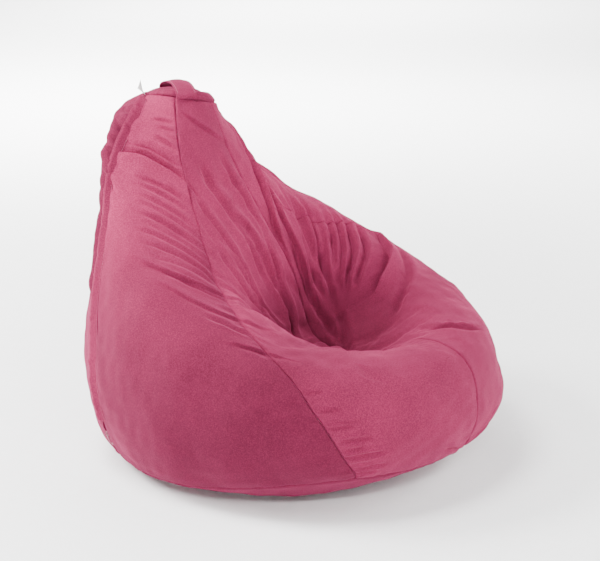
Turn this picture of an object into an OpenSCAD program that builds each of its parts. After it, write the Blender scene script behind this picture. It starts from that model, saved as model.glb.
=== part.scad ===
// Bean bag chair, pear pattern: six gores, a hexagonal crown panel and a round base,
// filled with beads in an inner bag, sat into shape so that a seat hollow lies in front of the back.
// Frame: +Z up, the sitter faces -Y, +X is the viewer's right. The origin is under the middle, on the floor.

/* [Body] */
// Width of the filled chair
body_w = 900; // [800:10:1000]
// Depth of the filled chair, front to back
body_d = 907; // [800:1:1000]
// Height of the crown panel above the floor
crown_h = 778; // [700:10:860]

/* [Cover] */
// Thickness of the velour with its backing
fabric_t = 3; // [2:0.5:3]
// Width of the groove between two sewn panels
seam_gap = 0.8; // [0.6:0.1:1.2]

/* [Cover zip] */
// Width of one zip tape
tape_w = 15; // [12:1:18]
// Half width of the slot between the two gores, where the chain shows
slot_half = 6; // [5.5:0.5:8]
// Width of the placket that covers the chain
placket_w = 26; // [22:1:32]
// Length of the pull tab
pull_len = 24; // [18:1:28]

/* [Carry handle] */
// Width of the handle strap
handle_w = 48; // [40:1:55]
// Rise of the strap above the crown
handle_rise = 18; // [15:1:34]
// Thickness of the doubled strap
handle_t = 3.4; // [2.5:0.1:4]

/* [Care label] */
// Length of the label along the seam
label_w = 34; // [20:1:40]
// Height of the label
label_h = 24; // [15:1:30]

/* [Inner bag] */
// Gap from the outside of the cover to the outside of the inner bag
liner_depth = 9.5; // [9.5:0.5:11]
// Thickness of the inner bag
liner_t = 1.6; // [1:0.1:2]
// Gap from the outside of the cover to the bead filling
fill_depth = 16.5; // [16.5:0.5:20]

/* [Hidden] */

// Outline of the sat-in bag, one row per height from the middle of the base to the middle of the
// crown. Each row gives five points, going round from the front to the back on the +X side:
// front, front corner, side, back corner, back. The -X side mirrors it, unless three more points
// give its back corner, side and front corner.
OUTLINE = [
    [[0, 30, 0], [0, 30, 0], [0, 30, 0], [0, 30, 0], [0, 30, 0]],
    [[0, -135, 0], [115, -98, 0], [180, 25, 0], [140, 158, 0], [0, 212, 0]],
    [[0, -255, 0], [190, -190, 0], [315, 20, 0], [245, 250, 0], [0, 365, 0]],
    [[0, -330, 32], [240, -242, 28], [370, 10, 18], [290, 284, 16], [0, 410, 18],
        [-272, 270, 14], [-360, 10, 14], [-242, -245, 20]],
    [[0, -412, 66], [312, -316, 84], [420, 0, 62], [322, 302, 56], [0, 436, 55],
        [-304, 290, 42], [-404, 0, 36], [-300, -306, 82]],
    [[0, -448, 130], [330, -334, 132], [442, -5, 122], [336, 314, 112], [0, 450, 110],
        [-326, 306, 105], [-436, -5, 102], [-320, -326, 134]],
    [[0, -450, 190], [320, -320, 190], [450, -5, 195], [340, 320, 195], [0, 455, 195],
        [-336, 318, 195], [-450, -5, 190], [-324, -326, 192]],
    [[0, -436, 245], [312, -299, 257], [447, 0, 272], [325, 320, 290], [0, 448, 300],
        [-325, 320, 290], [-447, 0, 265], [-322, -312, 240]],
    [[0, -394, 285], [292, -262, 312], [428, 20, 340], [300, 325, 385], [0, 440, 400],
        [-300, 325, 385], [-428, 20, 330], [-305, -275, 290]],
    [[0, -310, 294], [265, -190, 348], [388, 62, 402], [275, 325, 470], [0, 430, 495],
        [-275, 325, 470], [-388, 62, 395], [-272, -200, 318]],
    [[0, -180, 235], [225, -90, 355], [328, 118, 458], [240, 335, 550], [0, 428, 590],
        [-240, 335, 550], [-325, 118, 448], [-232, -105, 330]],
    [[0, -30, 240], [172, 15, 360], [236, 182, 506], [198, 350, 630], [0, 425, 670],
        [-204, 354, 630], [-245, 182, 516], [-178, 10, 352]],
    [[0, 85, 365], [122, 105, 452], [158, 228, 574], [150, 356, 694], [0, 420, 735],
        [-158, 362, 698], [-172, 228, 592], [-125, 105, 452]],
    [[0, 165, 550], [93, 186, 598], [116, 266, 684], [108, 360, 732], [0, 406, 750],
        [-110, 362, 734], [-118, 268, 688], [-90, 188, 600]],
    [[0, 222, 748], [54, 250, 738], [68, 303, 744], [56, 360, 758], [0, 384, 760],
        [-58, 360, 760], [-84, 303, 768], [-62, 245, 762]],
    [[0, 260, 766], [28, 272, 762], [36, 302, 764], [28, 332, 768], [0, 344, 770],
        [-31, 332, 772], [-42, 302, 774], [-31, 272, 772]],
    [[0, 302, 778], [0, 302, 778], [0, 302, 778], [0, 302, 778], [0, 302, 778]]
];
LAST = len(OUTLINE) - 1;
// Rows of the outline where the base panel and the crown panel are sewn on
BASE_SEAM = 4;
CROWN_SEAM = 14;
// Overall size that the outline is drawn at
OUTLINE_W = 900;
OUTLINE_D = 907;
OUTLINE_H = 778;
STRETCH = [body_w / OUTLINE_W, body_d / OUTLINE_D, crown_h / OUTLINE_H];

// Angle of each lengthwise seam at each outline row from the base seam to the crown seam.
// 0 is the front, 90 the -X side. The sitter has pulled the two front seams askew.
SEAMS = [
    [  0,   0,   0,   0,   0,   0,   0,  -7, -28, -21,   0],
    [ 41,  45,  49,  52,  55,  58,  60,  61,  66,  70,  60],
    [122, 123, 124, 125, 126, 126, 126, 125, 124, 122, 120],
    [180, 180, 180, 180, 180, 180, 180, 180, 180, 180, 180],
    [238, 237, 236, 235, 234, 234, 234, 235, 236, 238, 240],
    [302, 298, 294, 291, 288, 286, 286, 290, 294, 298, 300],
    [360, 360, 360, 360, 360, 360, 360, 353, 332, 339, 360]
];
ZIP_SEAM = 2;
LINER_ZIP_SEAM = 3;

ROSE = [0.70, 0.31, 0.45];
ROSE_DARK = [0.55, 0.20, 0.33];
SPUNBOND = [0.90, 0.90, 0.88];
NICKEL = [0.72, 0.72, 0.74];

// ---- the skin of the filled bag -------------------------------------------------------------

function mirrored(p) = [-p[0], p[1], p[2]];
function left_point(row, i) = len(row) > 5 ? row[8 - i] : mirrored(row[i]);
function ring_nodes(row) = [
    row[0], left_point(row, 1), left_point(row, 2), left_point(row, 3),
    row[4], row[3], row[2], row[1]
];
RINGS = [for (row = OUTLINE) ring_nodes(row)];
function ring(i) = i < 0 ? 2 * RINGS[0] - RINGS[-i]
    : i > LAST ? 2 * RINGS[LAST] - RINGS[2 * LAST - i] : RINGS[i];

// Smooth curve through b and c, with a and d as the neighbours, t from 0 to 1
function catmull(a, b, c, d, t) =
    0.5 * (2 * b + (c - a) * t + (2 * a - 5 * b + 4 * c - d) * t * t + (3 * b - 3 * c + d - a) * t * t * t);
function ring_at(w) = let (i = min(floor(w), LAST - 1))
    catmull(ring(i - 1), ring(i), ring(i + 1), ring(i + 2), w - i);

// Share of one of the eight points of a ring at d degrees from it
function share(d) = (1 + 2 * cos(d) + 2 * cos(2 * d) + 2 * cos(3 * d) + cos(4 * d)) / 8;
function on_ring(r, u) = let (
    s = [for (k = [0:7]) share(u - 45 * k)],
    p = s * r
) [p[0] * STRETCH[0], p[1] * STRETCH[1], max(0, p[2]) * STRETCH[2]];

// Point on the skin: u is the angle round the bag, w the outline row; depth is measured inwards
STEP_U = 1;
STEP_W = 0.03;
function skin(u, w, depth = 0) = let (
    r = ring_at(w),
    p = on_ring(r, u),
    n = cross(on_ring(ring_at(w + STEP_W), u) - on_ring(ring_at(w - STEP_W), u),
              on_ring(r, u + STEP_U) - on_ring(r, u - STEP_U))
) depth == 0 ? p : p - n / norm(n) * depth;
function outward(u, w) = skin(u, w, -1) - skin(u, w);

// Angle of seam k at outline row w
function seam_angle(k, w) = let (
    last = CROWN_SEAM - BASE_SEAM,
    v = min(max(w - BASE_SEAM, 0), last),
    i = min(floor(v), last - 1),
    s = SEAMS[k]
) catmull(s[max(i - 1, 0)], s[i], s[i + 1], s[min(i + 2, last)], v - i);
// Degrees round the bag for one millimetre along it
function degrees_per_mm(u, w) = 2 * STEP_U / norm(skin(u + STEP_U, w) - skin(u - STEP_U, w));
// Point at across millimetres beside seam k
function beside(k, w, across, depth = 0) = let (u = seam_angle(k, w))
    skin(u + across * degrees_per_mm(u, w), w, depth);

// ---- closed sheets from grids of points -----------------------------------------------------

function quad(a, b, c, d) = [[a, b, c], [a, c, d]];
function joined(lists) = [for (l = lists) each l];
function flipped(faces) = [for (f = faces) [f[2], f[1], f[0]]];

// Sheet between an outer and an inner grid, rows of n + 1 points, m + 1 rows
module sheet(outer, inner) {
    m = len(outer) - 1;
    n = len(outer[0]) - 1;
    w = n + 1;
    back = (m + 1) * w;
    skins = [for (j = [0:m - 1], i = [0:n - 1]) let (a = j * w + i, b = a + 1, c = b + w, d = a + w)
        each concat(quad(a, b, c, d), flipped(quad(a + back, b + back, c + back, d + back)))];
    ends = [for (i = [0:n - 1]) let (a = i, b = i + 1, c = m * w + i, d = c + 1)
        each concat(quad(b, a, a + back, b + back), quad(c, d, d + back, c + back))];
    sides = [for (j = [0:m - 1]) let (a = j * w, b = a + w, c = a + n, d = b + n)
        each concat(quad(a, b, b + back, a + back), quad(d, c, c + back, d + back))];
    polyhedron(concat(joined(outer), joined(inner)), concat(skins, ends, sides), convexity = 6);
}

// Faces of n-sided rings of points, m + 1 rings, that go up the skin
function tube_faces(m, n, first) = [for (j = [0:m - 1], i = [0:n - 1]) let (
    a = first + j * n + i, b = first + j * n + (i + 1) % n
) each quad(a, b, b + n, a + n)];
function fan_faces(n, first, pole) = [for (i = [0:n - 1]) [first + i, first + (i + 1) % n, pole]];

// Round panel, from the ring at its rim to its middle: rows of points, then the pole
module disc_sheet(outer, outer_pole, inner, inner_pole, flip) {
    m = len(outer) - 1;
    n = len(outer[0]);
    back = (m + 1) * n;
    pole = 2 * back;
    front = concat(tube_faces(m, n, 0), fan_faces(n, m * n, pole));
    rear = concat(tube_faces(m, n, back), fan_faces(n, back + m * n, pole + 1));
    rim = [for (i = [0:n - 1]) let (a = i, b = (i + 1) % n) each quad(b, a, a + back, b + back)];
    faces = concat(front, flipped(rear), rim);
    polyhedron(concat(joined(outer), joined(inner), [outer_pole, inner_pole]),
               flip ? flipped(faces) : faces, convexity = 6);
}

// ---- panels ---------------------------------------------------------------------------------

// Facets across a gore and up it. The cover, the inner bag and the filling share them, so that
// they stay parallel to each other.
GORES = 6;
ACROSS = 7;
ALONG = 22;
BASE_RINGS = 5;
CROWN_RINGS = 3;

// Gore k between two seams. edge_a and edge_b are the millimetres it keeps clear of them.
module gore(k, depth, t, edge_a, edge_b, trim) {
    function row(w, d) = let (
        a = seam_angle(k, w), b = seam_angle(k + 1, w),
        from = a + edge_a * degrees_per_mm(a, w), to = b - edge_b * degrees_per_mm(b, w)
    ) [for (i = [0:ACROSS]) skin(from + (to - from) * i / ACROSS, w, d)];
    low = BASE_SEAM + trim;
    high = CROWN_SEAM - trim;
    rows = [for (j = [0:ALONG]) low + (high - low) * j / ALONG];
    sheet([for (w = rows) row(w, depth)], [for (w = rows) row(w, depth + t)]);
}

// Ring round the bag, with the same columns as the gores
function loop(w, depth) = [for (k = [0:GORES - 1], i = [0:ACROSS - 1])
    let (a = seam_angle(k, w), b = seam_angle(k + 1, w)) skin(a + (b - a) * i / ACROSS, w, depth)];

// Strip along seam k, from outline row low to high, between two distances beside the seam. It
// lies at depth along its first edge and at far_depth along its second.
module seam_strip(k, low, high, from, to, depth, far_depth, t, along) {
    rows = [for (j = [0:along]) low + (high - low) * j / along];
    function edges(w, extra) = [beside(k, w, from, depth + extra), beside(k, w, to, far_depth + extra)];
    sheet([for (w = rows) edges(w, 0)], [for (w = rows) edges(w, t)]);
}

module round_panel(rim, middle, depth, t, rings, flip) {
    rows = [for (j = [0:rings]) rim + (middle - rim) * j / (rings + 1)];
    pole = skin(0, middle);
    up = flip ? [0, 0, 1] : [0, 0, -1];
    disc_sheet([for (w = rows) loop(w, depth)], pole + up * depth,
               [for (w = rows) loop(w, depth + t)], pole + up * (depth + t), flip);
}

// Rows that a panel's edge keeps clear of a cross seam
TRIM = 0.008;
module cover_gore(k, edge_a, edge_b) {
    color(k == 2 || k == 3 ? ROSE_DARK : ROSE) gore(k, 0, fabric_t, edge_a, edge_b, TRIM);
}
module liner_gore(k, edge_a, edge_b) {
    color(SPUNBOND) gore(k, liner_depth, liner_t, edge_a, edge_b, 2 * TRIM);
}

SEW = seam_gap / 2;
LINER_SLOT = 5;
module gore_front_left() { cover_gore(0, SEW, SEW); }
module gore_side_left() { cover_gore(1, SEW, slot_half); }
module gore_back_left() { cover_gore(2, slot_half, SEW); }
module gore_back_right() { cover_gore(3, SEW, SEW); }
module gore_side_right() { cover_gore(4, SEW, SEW); }
module gore_front_right() { cover_gore(5, SEW, SEW); }
module crown_panel() { color(ROSE) round_panel(CROWN_SEAM + TRIM, LAST, 0, fabric_t, CROWN_RINGS, false); }
module base_panel() { color(ROSE_DARK) round_panel(BASE_SEAM - TRIM, 0, 0, fabric_t, BASE_RINGS, true); }

module liner_front_left() { liner_gore(0, SEW, SEW); }
module liner_side_left() { liner_gore(1, SEW, SEW); }
module liner_back_left() { liner_gore(2, SEW, LINER_SLOT); }
module liner_back_right() { liner_gore(3, LINER_SLOT, SEW); }
module liner_side_right() { liner_gore(4, SEW, SEW); }
module liner_front_right() { liner_gore(5, SEW, SEW); }
module liner_crown() {
    color(SPUNBOND) round_panel(CROWN_SEAM + 2 * TRIM, LAST, liner_depth, liner_t, CROWN_RINGS, false);
}
module liner_base() {
    color(SPUNBOND) round_panel(BASE_SEAM - 2 * TRIM, 0, liner_depth, liner_t, BASE_RINGS, true);
}

// One closed body of beads
module bead_filling() {
    rows = concat(
        [for (j = [1:BASE_RINGS]) BASE_SEAM * j / (BASE_RINGS + 1)],
        [for (j = [0:ALONG]) BASE_SEAM + (CROWN_SEAM - BASE_SEAM) * j / ALONG],
        [for (j = [1:CROWN_RINGS]) CROWN_SEAM + (LAST - CROWN_SEAM) * j / (CROWN_RINGS + 1)]);
    rings = len(rows);
    sides = GORES * ACROSS;
    points = [for (w = rows) each loop(w, fill_depth)];
    foot = skin(0, 0) + [0, 0, fill_depth];
    head = skin(0, LAST) - [0, 0, fill_depth];
    floor_pole = rings * sides;
    color([0.97, 0.97, 0.95]) polyhedron(
        concat(points, [foot, head]),
        concat(tube_faces(rings - 1, sides, 0), fan_faces(sides, (rings - 1) * sides, floor_pole + 1),
               flipped(fan_faces(sides, 0, floor_pole))),
        convexity = 6);
}

// ---- carry handle and care label ------------------------------------------------------------

// The strap crosses the crown from its front left edge (angle 30) to the edge behind (angle 210)
HANDLE_ANGLE = 30;
CROWN_MIDDLE = skin(0, LAST);
HANDLE_NEAR = skin(HANDLE_ANGLE, CROWN_SEAM);
HANDLE_FAR = skin(HANDLE_ANGLE + 180, CROWN_SEAM);
HANDLE_SPAN = norm([HANDLE_NEAR[0] - HANDLE_FAR[0], HANDLE_NEAR[1] - HANDLE_FAR[1]]);
HANDLE_SLOPE = (HANDLE_FAR[2] - HANDLE_NEAR[2]) / HANDLE_SPAN;
// The feet end this far above the crown seam and outside it
SEWN_END = 3.5;
FOOT_OUT = 5;
// Power of the arch: 1 is an ellipse, less is flatter on top
ARCH_SHAPE = 0.7;

// Side outline of the strap: its feet lie on the rim, and it arches over the hand gap
module handle_outline() {
    steps = 16;
    low = (HANDLE_NEAR[2] + HANDLE_FAR[2]) / 2 + SEWN_END;
    top = CROWN_MIDDLE[2] + handle_rise - low;
    reach = HANDLE_SPAN / 2 + FOOT_OUT;
    function arch(a, extra) = let (x = (reach + extra) * cos(a))
        [x, low + HANDLE_SLOPE * x + (top + extra) * pow(sin(a), ARCH_SHAPE)];
    polygon(concat([for (i = [0:steps]) arch(180 * i / steps, 0)],
                   [for (i = [steps:-1:0]) arch(180 * i / steps, -handle_t)]));
}
module carry_handle() {
    middle = (HANDLE_NEAR + HANDLE_FAR) / 2;
    color(ROSE) translate([middle[0], middle[1], 0]) rotate([0, 0, 90 - HANDLE_ANGLE])
        rotate([90, 0, 0]) translate([0, 0, -handle_w / 2]) linear_extrude(handle_w) handle_outline();
}

// The label is sewn into the crown seam at the back left and stands up and out
LABEL_ANGLE = 132;
LABEL_T = 0.8;
LABEL_LEAN = 50;
module care_label() {
    p = skin(LABEL_ANGLE, CROWN_SEAM, -1.5);
    color("white") translate(p) rotate([0, 0, -LABEL_ANGLE - 90]) rotate([0, LABEL_LEAN, 0])
        translate([-LABEL_T / 2, -label_w / 2, 0]) cube([LABEL_T, label_w, label_h]);
}

// ---- cover zip ------------------------------------------------------------------------------

// Outline rows where the zip and its placket start and end
ZIP_LOW = 4.35;
ZIP_HIGH = 13.6;
PLACKET_LOW = 5.25;
PLACKET_HIGH = 13.75;
// Depths below the outside of the cover
COIL_DEPTH = 0.9;
COIL_T = 2.4;
TAPE_DEPTH = 3.5;
TAPE_EDGE_DEPTH = 5.8;
TAPE_T = 1;
// Half width of the slit between the two halves of the chain
SLIT = 1.4;
COIL_W = 2.6;
ZIP_STEPS = 34;
module zip_tape(side) {
    color([0.50, 0.18, 0.30]) if (side < 0)
        seam_strip(ZIP_SEAM, ZIP_LOW, ZIP_HIGH, -tape_w, -SLIT, TAPE_EDGE_DEPTH, TAPE_DEPTH, TAPE_T, ZIP_STEPS);
    else
        seam_strip(ZIP_SEAM, ZIP_LOW, ZIP_HIGH, SLIT, tape_w, TAPE_DEPTH, TAPE_EDGE_DEPTH, TAPE_T, ZIP_STEPS);
}
module zip_coil(side) {
    low = ZIP_LOW + 0.1;
    high = ZIP_HIGH - 0.1;
    color([0.60, 0.24, 0.38]) if (side < 0)
        seam_strip(ZIP_SEAM, low, high, -SLIT - COIL_W, -SLIT, COIL_DEPTH, COIL_DEPTH, COIL_T, ZIP_STEPS);
    else
        seam_strip(ZIP_SEAM, low, high, SLIT, SLIT + COIL_W, COIL_DEPTH, COIL_DEPTH, COIL_T, ZIP_STEPS);
}
module zip_tape_front() { zip_tape(-1); }
module zip_tape_rear() { zip_tape(1); }
module zip_coil_front() { zip_coil(-1); }
module zip_coil_rear() { zip_coil(1); }

// The placket is stitched down in front of the slot and stands free over it
PLACKET_LIFT = 5.2;
PLACKET_T = 1.8;
PLACKET_BACK = 10;
module zip_placket() {
    steps = 5;
    rows = [for (j = [0:30]) PLACKET_LOW + (PLACKET_HIGH - PLACKET_LOW) * j / 30];
    function lift(s) = 0.4 + PLACKET_T + PLACKET_LIFT * (1 - cos(180 * min(1, s * 1.8))) / 2;
    function row(w, t) = [for (i = [0:steps])
        beside(ZIP_SEAM, w, PLACKET_BACK - placket_w + placket_w * i / steps, t - lift(i / steps))];
    color(ROSE) sheet([for (w = rows) row(w, 0)], [for (w = rows) row(w, PLACKET_T)]);
}

// Moves its children to seam k at outline row w: x runs round the bag, y up the seam, z outwards
module at_seam(k, w) {
    p = beside(k, w, 0);
    up = beside(k, w + STEP_W, 0) - beside(k, w - STEP_W, 0);
    out = outward(seam_angle(k, w), w);
    z = out / norm(out);
    x0 = cross(up, z);
    x = x0 / norm(x0);
    y = cross(z, x);
    multmatrix([[x[0], y[0], z[0], p[0]], [x[1], y[1], z[1], p[1]], [x[2], y[2], z[2], p[2]], [0, 0, 0, 1]])
        children();
}

STOP_W = 2 * (SLIT + COIL_W);
module zip_stop(w) {
    color(NICKEL) at_seam(ZIP_SEAM, w) translate([-STOP_W / 2, -2, -COIL_DEPTH + 0.4]) cube([STOP_W, 4, 1.2]);
}
module zip_top_stop() { zip_stop(ZIP_HIGH - 0.15); }
module zip_bottom_stop() { zip_stop(ZIP_LOW + 0.17); }

// The slider is parked at the bottom of the zip, just below the placket
PARK = 4.86;
SLIDER_L = 11;
PLATE_T = 1.1;
BRIDGE_HALF = 0.5;
EAR_GAP = 5;
PIN_R = 0.6;
PIN_HEIGHT = 1.9;
module slider_body(plate_w, top, bottom) {
    translate([-plate_w / 2, -SLIDER_L / 2, top]) cube([plate_w, SLIDER_L, PLATE_T]);
    translate([-plate_w / 2 + 0.5, -SLIDER_L / 2, bottom - PLATE_T]) cube([plate_w - 1, SLIDER_L, PLATE_T]);
    translate([-BRIDGE_HALF, 0, bottom - 0.1]) cube([2 * BRIDGE_HALF, 4, top - bottom + 0.2]);
}
// Two ears with a cross pin that carries the pull
module slider_ears(top) {
    for (s = [-1, 1])
        translate([s * EAR_GAP / 2 - (s > 0 ? 0 : 0.8), -1.4, top - 0.1]) cube([0.8, 2.8, PIN_HEIGHT + 0.8]);
    translate([-EAR_GAP / 2 - 0.1, 0, top + PIN_HEIGHT]) rotate([0, 90, 0])
        cylinder(h = EAR_GAP + 0.2, r = PIN_R, $fn = 20);
}
SLIDER_TOP = 0.1;
// The ears start this far inside the top plate
EAR_SINK = 0.2;
// Plate width, and the gap from the tape to the lower plate
SLIDER_W = 9.4;
PLATE_GAP = 1.3;
module zip_slider() {
    color(NICKEL) at_seam(ZIP_SEAM, PARK) {
        slider_body(SLIDER_W, SLIDER_TOP, -TAPE_DEPTH - TAPE_T - PLATE_GAP);
        slider_ears(SLIDER_TOP + PLATE_T - EAR_SINK);
    }
}
EYE_R = 1.4;
PULL_T = 1;
PULL_W = EAR_GAP - 0.8;
// The pull hangs from the pin down the seam, with an eye round the pin
module pull_tab(length, width) {
    difference() {
        union() {
            translate([-width / 2, -length, -PULL_T / 2]) cube([width, length - EYE_R + 0.3, PULL_T]);
            translate([-width / 2, 0, 0]) rotate([0, 90, 0]) cylinder(h = width, r = EYE_R, $fn = 28);
        }
        translate([-width, 0, 0]) rotate([0, 90, 0]) cylinder(h = 2 * width, r = PIN_R + 0.3, $fn = 28);
        translate([0, 4 - length, -PULL_T]) cylinder(h = 2 * PULL_T, r = 1, $fn = 20);
    }
}
module zip_pull() {
    color(NICKEL) at_seam(ZIP_SEAM, PARK) translate([0, 0, SLIDER_TOP + PLATE_T - EAR_SINK + PIN_HEIGHT])
        pull_tab(pull_len, PULL_W);
}

// ---- zip of the inner bag, for filling ------------------------------------------------------

LINER_ZIP_LOW = 8.2;
LINER_ZIP_HIGH = 11.8;
LINER_PARK = 8.7;
LINER_TAPE_DEPTH = liner_depth + liner_t + 0.4;
LINER_TAPE_EDGE_DEPTH = LINER_TAPE_DEPTH + 1.4;
LINER_TAPE_T = 0.8;
LINER_TAPE_W = 12;
LINER_COIL_DEPTH = liner_depth - 0.2;
LINER_COIL_W = 2;
LINER_COIL_T = 1.8;
LINER_ZIP_STEPS = 14;
module liner_tape(from, to, depth, far_depth) {
    color([0.85, 0.85, 0.83]) seam_strip(LINER_ZIP_SEAM, LINER_ZIP_LOW, LINER_ZIP_HIGH, from, to,
                                         depth, far_depth, LINER_TAPE_T, LINER_ZIP_STEPS);
}
module liner_zip_tape_left() { liner_tape(-LINER_TAPE_W, -SLIT, LINER_TAPE_EDGE_DEPTH, LINER_TAPE_DEPTH); }
module liner_zip_tape_right() { liner_tape(SLIT, LINER_TAPE_W, LINER_TAPE_DEPTH, LINER_TAPE_EDGE_DEPTH); }
module liner_zip_coil() {
    color([0.80, 0.80, 0.78]) for (near = [-SLIT - LINER_COIL_W, SLIT])
        seam_strip(LINER_ZIP_SEAM, LINER_ZIP_LOW + 0.1, LINER_ZIP_HIGH - 0.1, near, near + LINER_COIL_W,
                   LINER_COIL_DEPTH, LINER_COIL_DEPTH, LINER_COIL_T, LINER_ZIP_STEPS);
}
LINER_SLIDER_TOP = -LINER_COIL_DEPTH + 0.6;
LINER_SLIDER_W = 7;
LINER_PLATE_GAP = 0.6;
LINER_PULL_LEN = 10;
module liner_zip_slider() {
    color(NICKEL) at_seam(LINER_ZIP_SEAM, LINER_PARK) {
        slider_body(LINER_SLIDER_W, LINER_SLIDER_TOP, -LINER_TAPE_DEPTH - LINER_TAPE_T - LINER_PLATE_GAP);
        slider_ears(LINER_SLIDER_TOP + PLATE_T - EAR_SINK);
    }
}
module liner_zip_pull() {
    color(NICKEL) at_seam(LINER_ZIP_SEAM, LINER_PARK)
        translate([0, 0, LINER_SLIDER_TOP + PLATE_T - EAR_SINK + PIN_HEIGHT])
            pull_tab(LINER_PULL_LEN, PULL_W);
}

gore_front_left();
gore_side_left();
gore_back_left();
gore_back_right();
gore_side_right();
gore_front_right();
crown_panel();
base_panel();
carry_handle();
care_label();
zip_placket();
zip_tape_front();
zip_tape_rear();
zip_coil_front();
zip_coil_rear();
zip_top_stop();
zip_bottom_stop();
zip_slider();
zip_pull();
liner_front_left();
liner_side_left();
liner_back_left();
liner_back_right();
liner_side_right();
liner_front_right();
liner_crown();
liner_base();
liner_zip_tape_left();
liner_zip_tape_right();
liner_zip_coil();
liner_zip_slider();
liner_zip_pull();
bead_filling();
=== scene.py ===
"""Looks of a sat-in bean bag chair: velour gores, crown and base panels, zip, strap and label."""
import math

import bmesh
import bpy
import numpy as np
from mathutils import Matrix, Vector


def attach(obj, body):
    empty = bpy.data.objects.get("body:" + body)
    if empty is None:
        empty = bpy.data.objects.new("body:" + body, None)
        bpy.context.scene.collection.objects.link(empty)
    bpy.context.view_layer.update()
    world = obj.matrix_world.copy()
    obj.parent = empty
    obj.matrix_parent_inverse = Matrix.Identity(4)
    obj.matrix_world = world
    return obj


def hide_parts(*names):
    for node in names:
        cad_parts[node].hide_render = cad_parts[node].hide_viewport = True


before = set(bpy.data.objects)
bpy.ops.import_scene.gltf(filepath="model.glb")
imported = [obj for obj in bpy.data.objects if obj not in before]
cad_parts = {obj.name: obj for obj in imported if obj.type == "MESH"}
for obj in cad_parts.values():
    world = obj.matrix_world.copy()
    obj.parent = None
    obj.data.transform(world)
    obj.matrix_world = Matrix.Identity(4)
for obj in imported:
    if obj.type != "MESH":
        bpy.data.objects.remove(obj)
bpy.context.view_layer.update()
MM = 0.001

# ---- the skin that the CAD part is drawn on ---------------------------------------------------

# Rows from the middle of the base to the middle of the crown, in millimetres: front, front corner,
# side, back corner and back on the +X side. The -X side mirrors it.
OUTLINE = [
    [[0, 30, 0], [0, 30, 0], [0, 30, 0], [0, 30, 0], [0, 30, 0]],
    [[0, -135, 0], [115, -98, 0], [180, 25, 0], [140, 158, 0], [0, 212, 0]],
    [[0, -255, 0], [190, -190, 0], [315, 20, 0], [245, 250, 0], [0, 365, 0]],
    [[0, -330, 32], [240, -242, 28], [370, 10, 18], [290, 284, 16], [0, 410, 18],
        [-272, 270, 14], [-360, 10, 14], [-242, -245, 20]],
    [[0, -412, 66], [312, -316, 84], [420, 0, 62], [322, 302, 56], [0, 436, 55],
        [-304, 290, 42], [-404, 0, 36], [-300, -306, 82]],
    [[0, -448, 130], [330, -334, 132], [442, -5, 122], [336, 314, 112], [0, 450, 110],
        [-326, 306, 105], [-436, -5, 102], [-320, -326, 134]],
    [[0, -450, 190], [320, -320, 190], [450, -5, 195], [340, 320, 195], [0, 455, 195],
        [-336, 318, 195], [-450, -5, 190], [-324, -326, 192]],
    [[0, -436, 245], [312, -299, 257], [447, 0, 272], [325, 320, 290], [0, 448, 300],
        [-325, 320, 290], [-447, 0, 265], [-322, -312, 240]],
    [[0, -394, 285], [292, -262, 312], [428, 20, 340], [300, 325, 385], [0, 440, 400],
        [-300, 325, 385], [-428, 20, 330], [-305, -275, 290]],
    [[0, -310, 294], [265, -190, 348], [388, 62, 402], [275, 325, 470], [0, 430, 495],
        [-275, 325, 470], [-388, 62, 395], [-272, -200, 318]],
    [[0, -180, 235], [225, -90, 355], [328, 118, 458], [240, 335, 550], [0, 428, 590],
        [-240, 335, 550], [-325, 118, 448], [-232, -105, 330]],
    [[0, -30, 240], [172, 15, 360], [236, 182, 506], [198, 350, 630], [0, 425, 670],
        [-204, 354, 630], [-245, 182, 516], [-178, 10, 352]],
    [[0, 85, 365], [122, 105, 452], [158, 228, 574], [150, 356, 694], [0, 420, 735],
        [-158, 362, 698], [-172, 228, 592], [-125, 105, 452]],
    [[0, 165, 550], [93, 186, 598], [116, 266, 684], [108, 360, 732], [0, 406, 750],
        [-110, 362, 734], [-118, 268, 688], [-90, 188, 600]],
    [[0, 222, 748], [54, 250, 738], [68, 303, 744], [56, 360, 758], [0, 384, 760],
        [-58, 360, 760], [-84, 303, 768], [-62, 245, 762]],
    [[0, 260, 766], [28, 272, 762], [36, 302, 764], [28, 332, 768], [0, 344, 770],
        [-31, 332, 772], [-42, 302, 774], [-31, 272, 772]],
    [[0, 302, 778], [0, 302, 778], [0, 302, 778], [0, 302, 778], [0, 302, 778]],
]
LAST = len(OUTLINE) - 1
BASE_SEAM = 4
CROWN_SEAM = 14
GORES = 6
# Angle of each lengthwise seam at the rows from the base seam to the crown seam
SEAMS = np.array([
    [  0,   0,   0,   0,   0,   0,   0,  -7, -28, -21,   0],
    [ 41,  45,  49,  52,  55,  58,  60,  61,  66,  70,  60],
    [122, 123, 124, 125, 126, 126, 126, 125, 124, 122, 120],
    [180, 180, 180, 180, 180, 180, 180, 180, 180, 180, 180],
    [238, 237, 236, 235, 234, 234, 234, 235, 236, 238, 240],
    [302, 298, 294, 291, 288, 286, 286, 290, 294, 298, 300],
    [360, 360, 360, 360, 360, 360, 360, 353, 332, 339, 360],
], float)
ZIP_SEAM = 2
STEP_U = 1.0
STEP_W = 0.03


def ring_points(row):
    """The eight points of a row, from the front round by the -X side."""
    right = [np.array(p, float) * MM for p in row]
    left = right[:4:-1] or [p * (-1, 1, 1) for p in right[1:4]]
    return [right[0], *left, right[4], right[3], right[2], right[1]]


RINGS = np.array([ring_points(row) for row in OUTLINE])
RINGS = np.concatenate([[2 * RINGS[0] - RINGS[1]], RINGS, [2 * RINGS[-1] - RINGS[-2]]])


def catmull(a, b, c, d, t):
    return 0.5 * (2 * b + (c - a) * t + (2 * a - 5 * b + 4 * c - d) * t**2
                  + (3 * b - 3 * c + d - a) * t**3)


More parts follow.
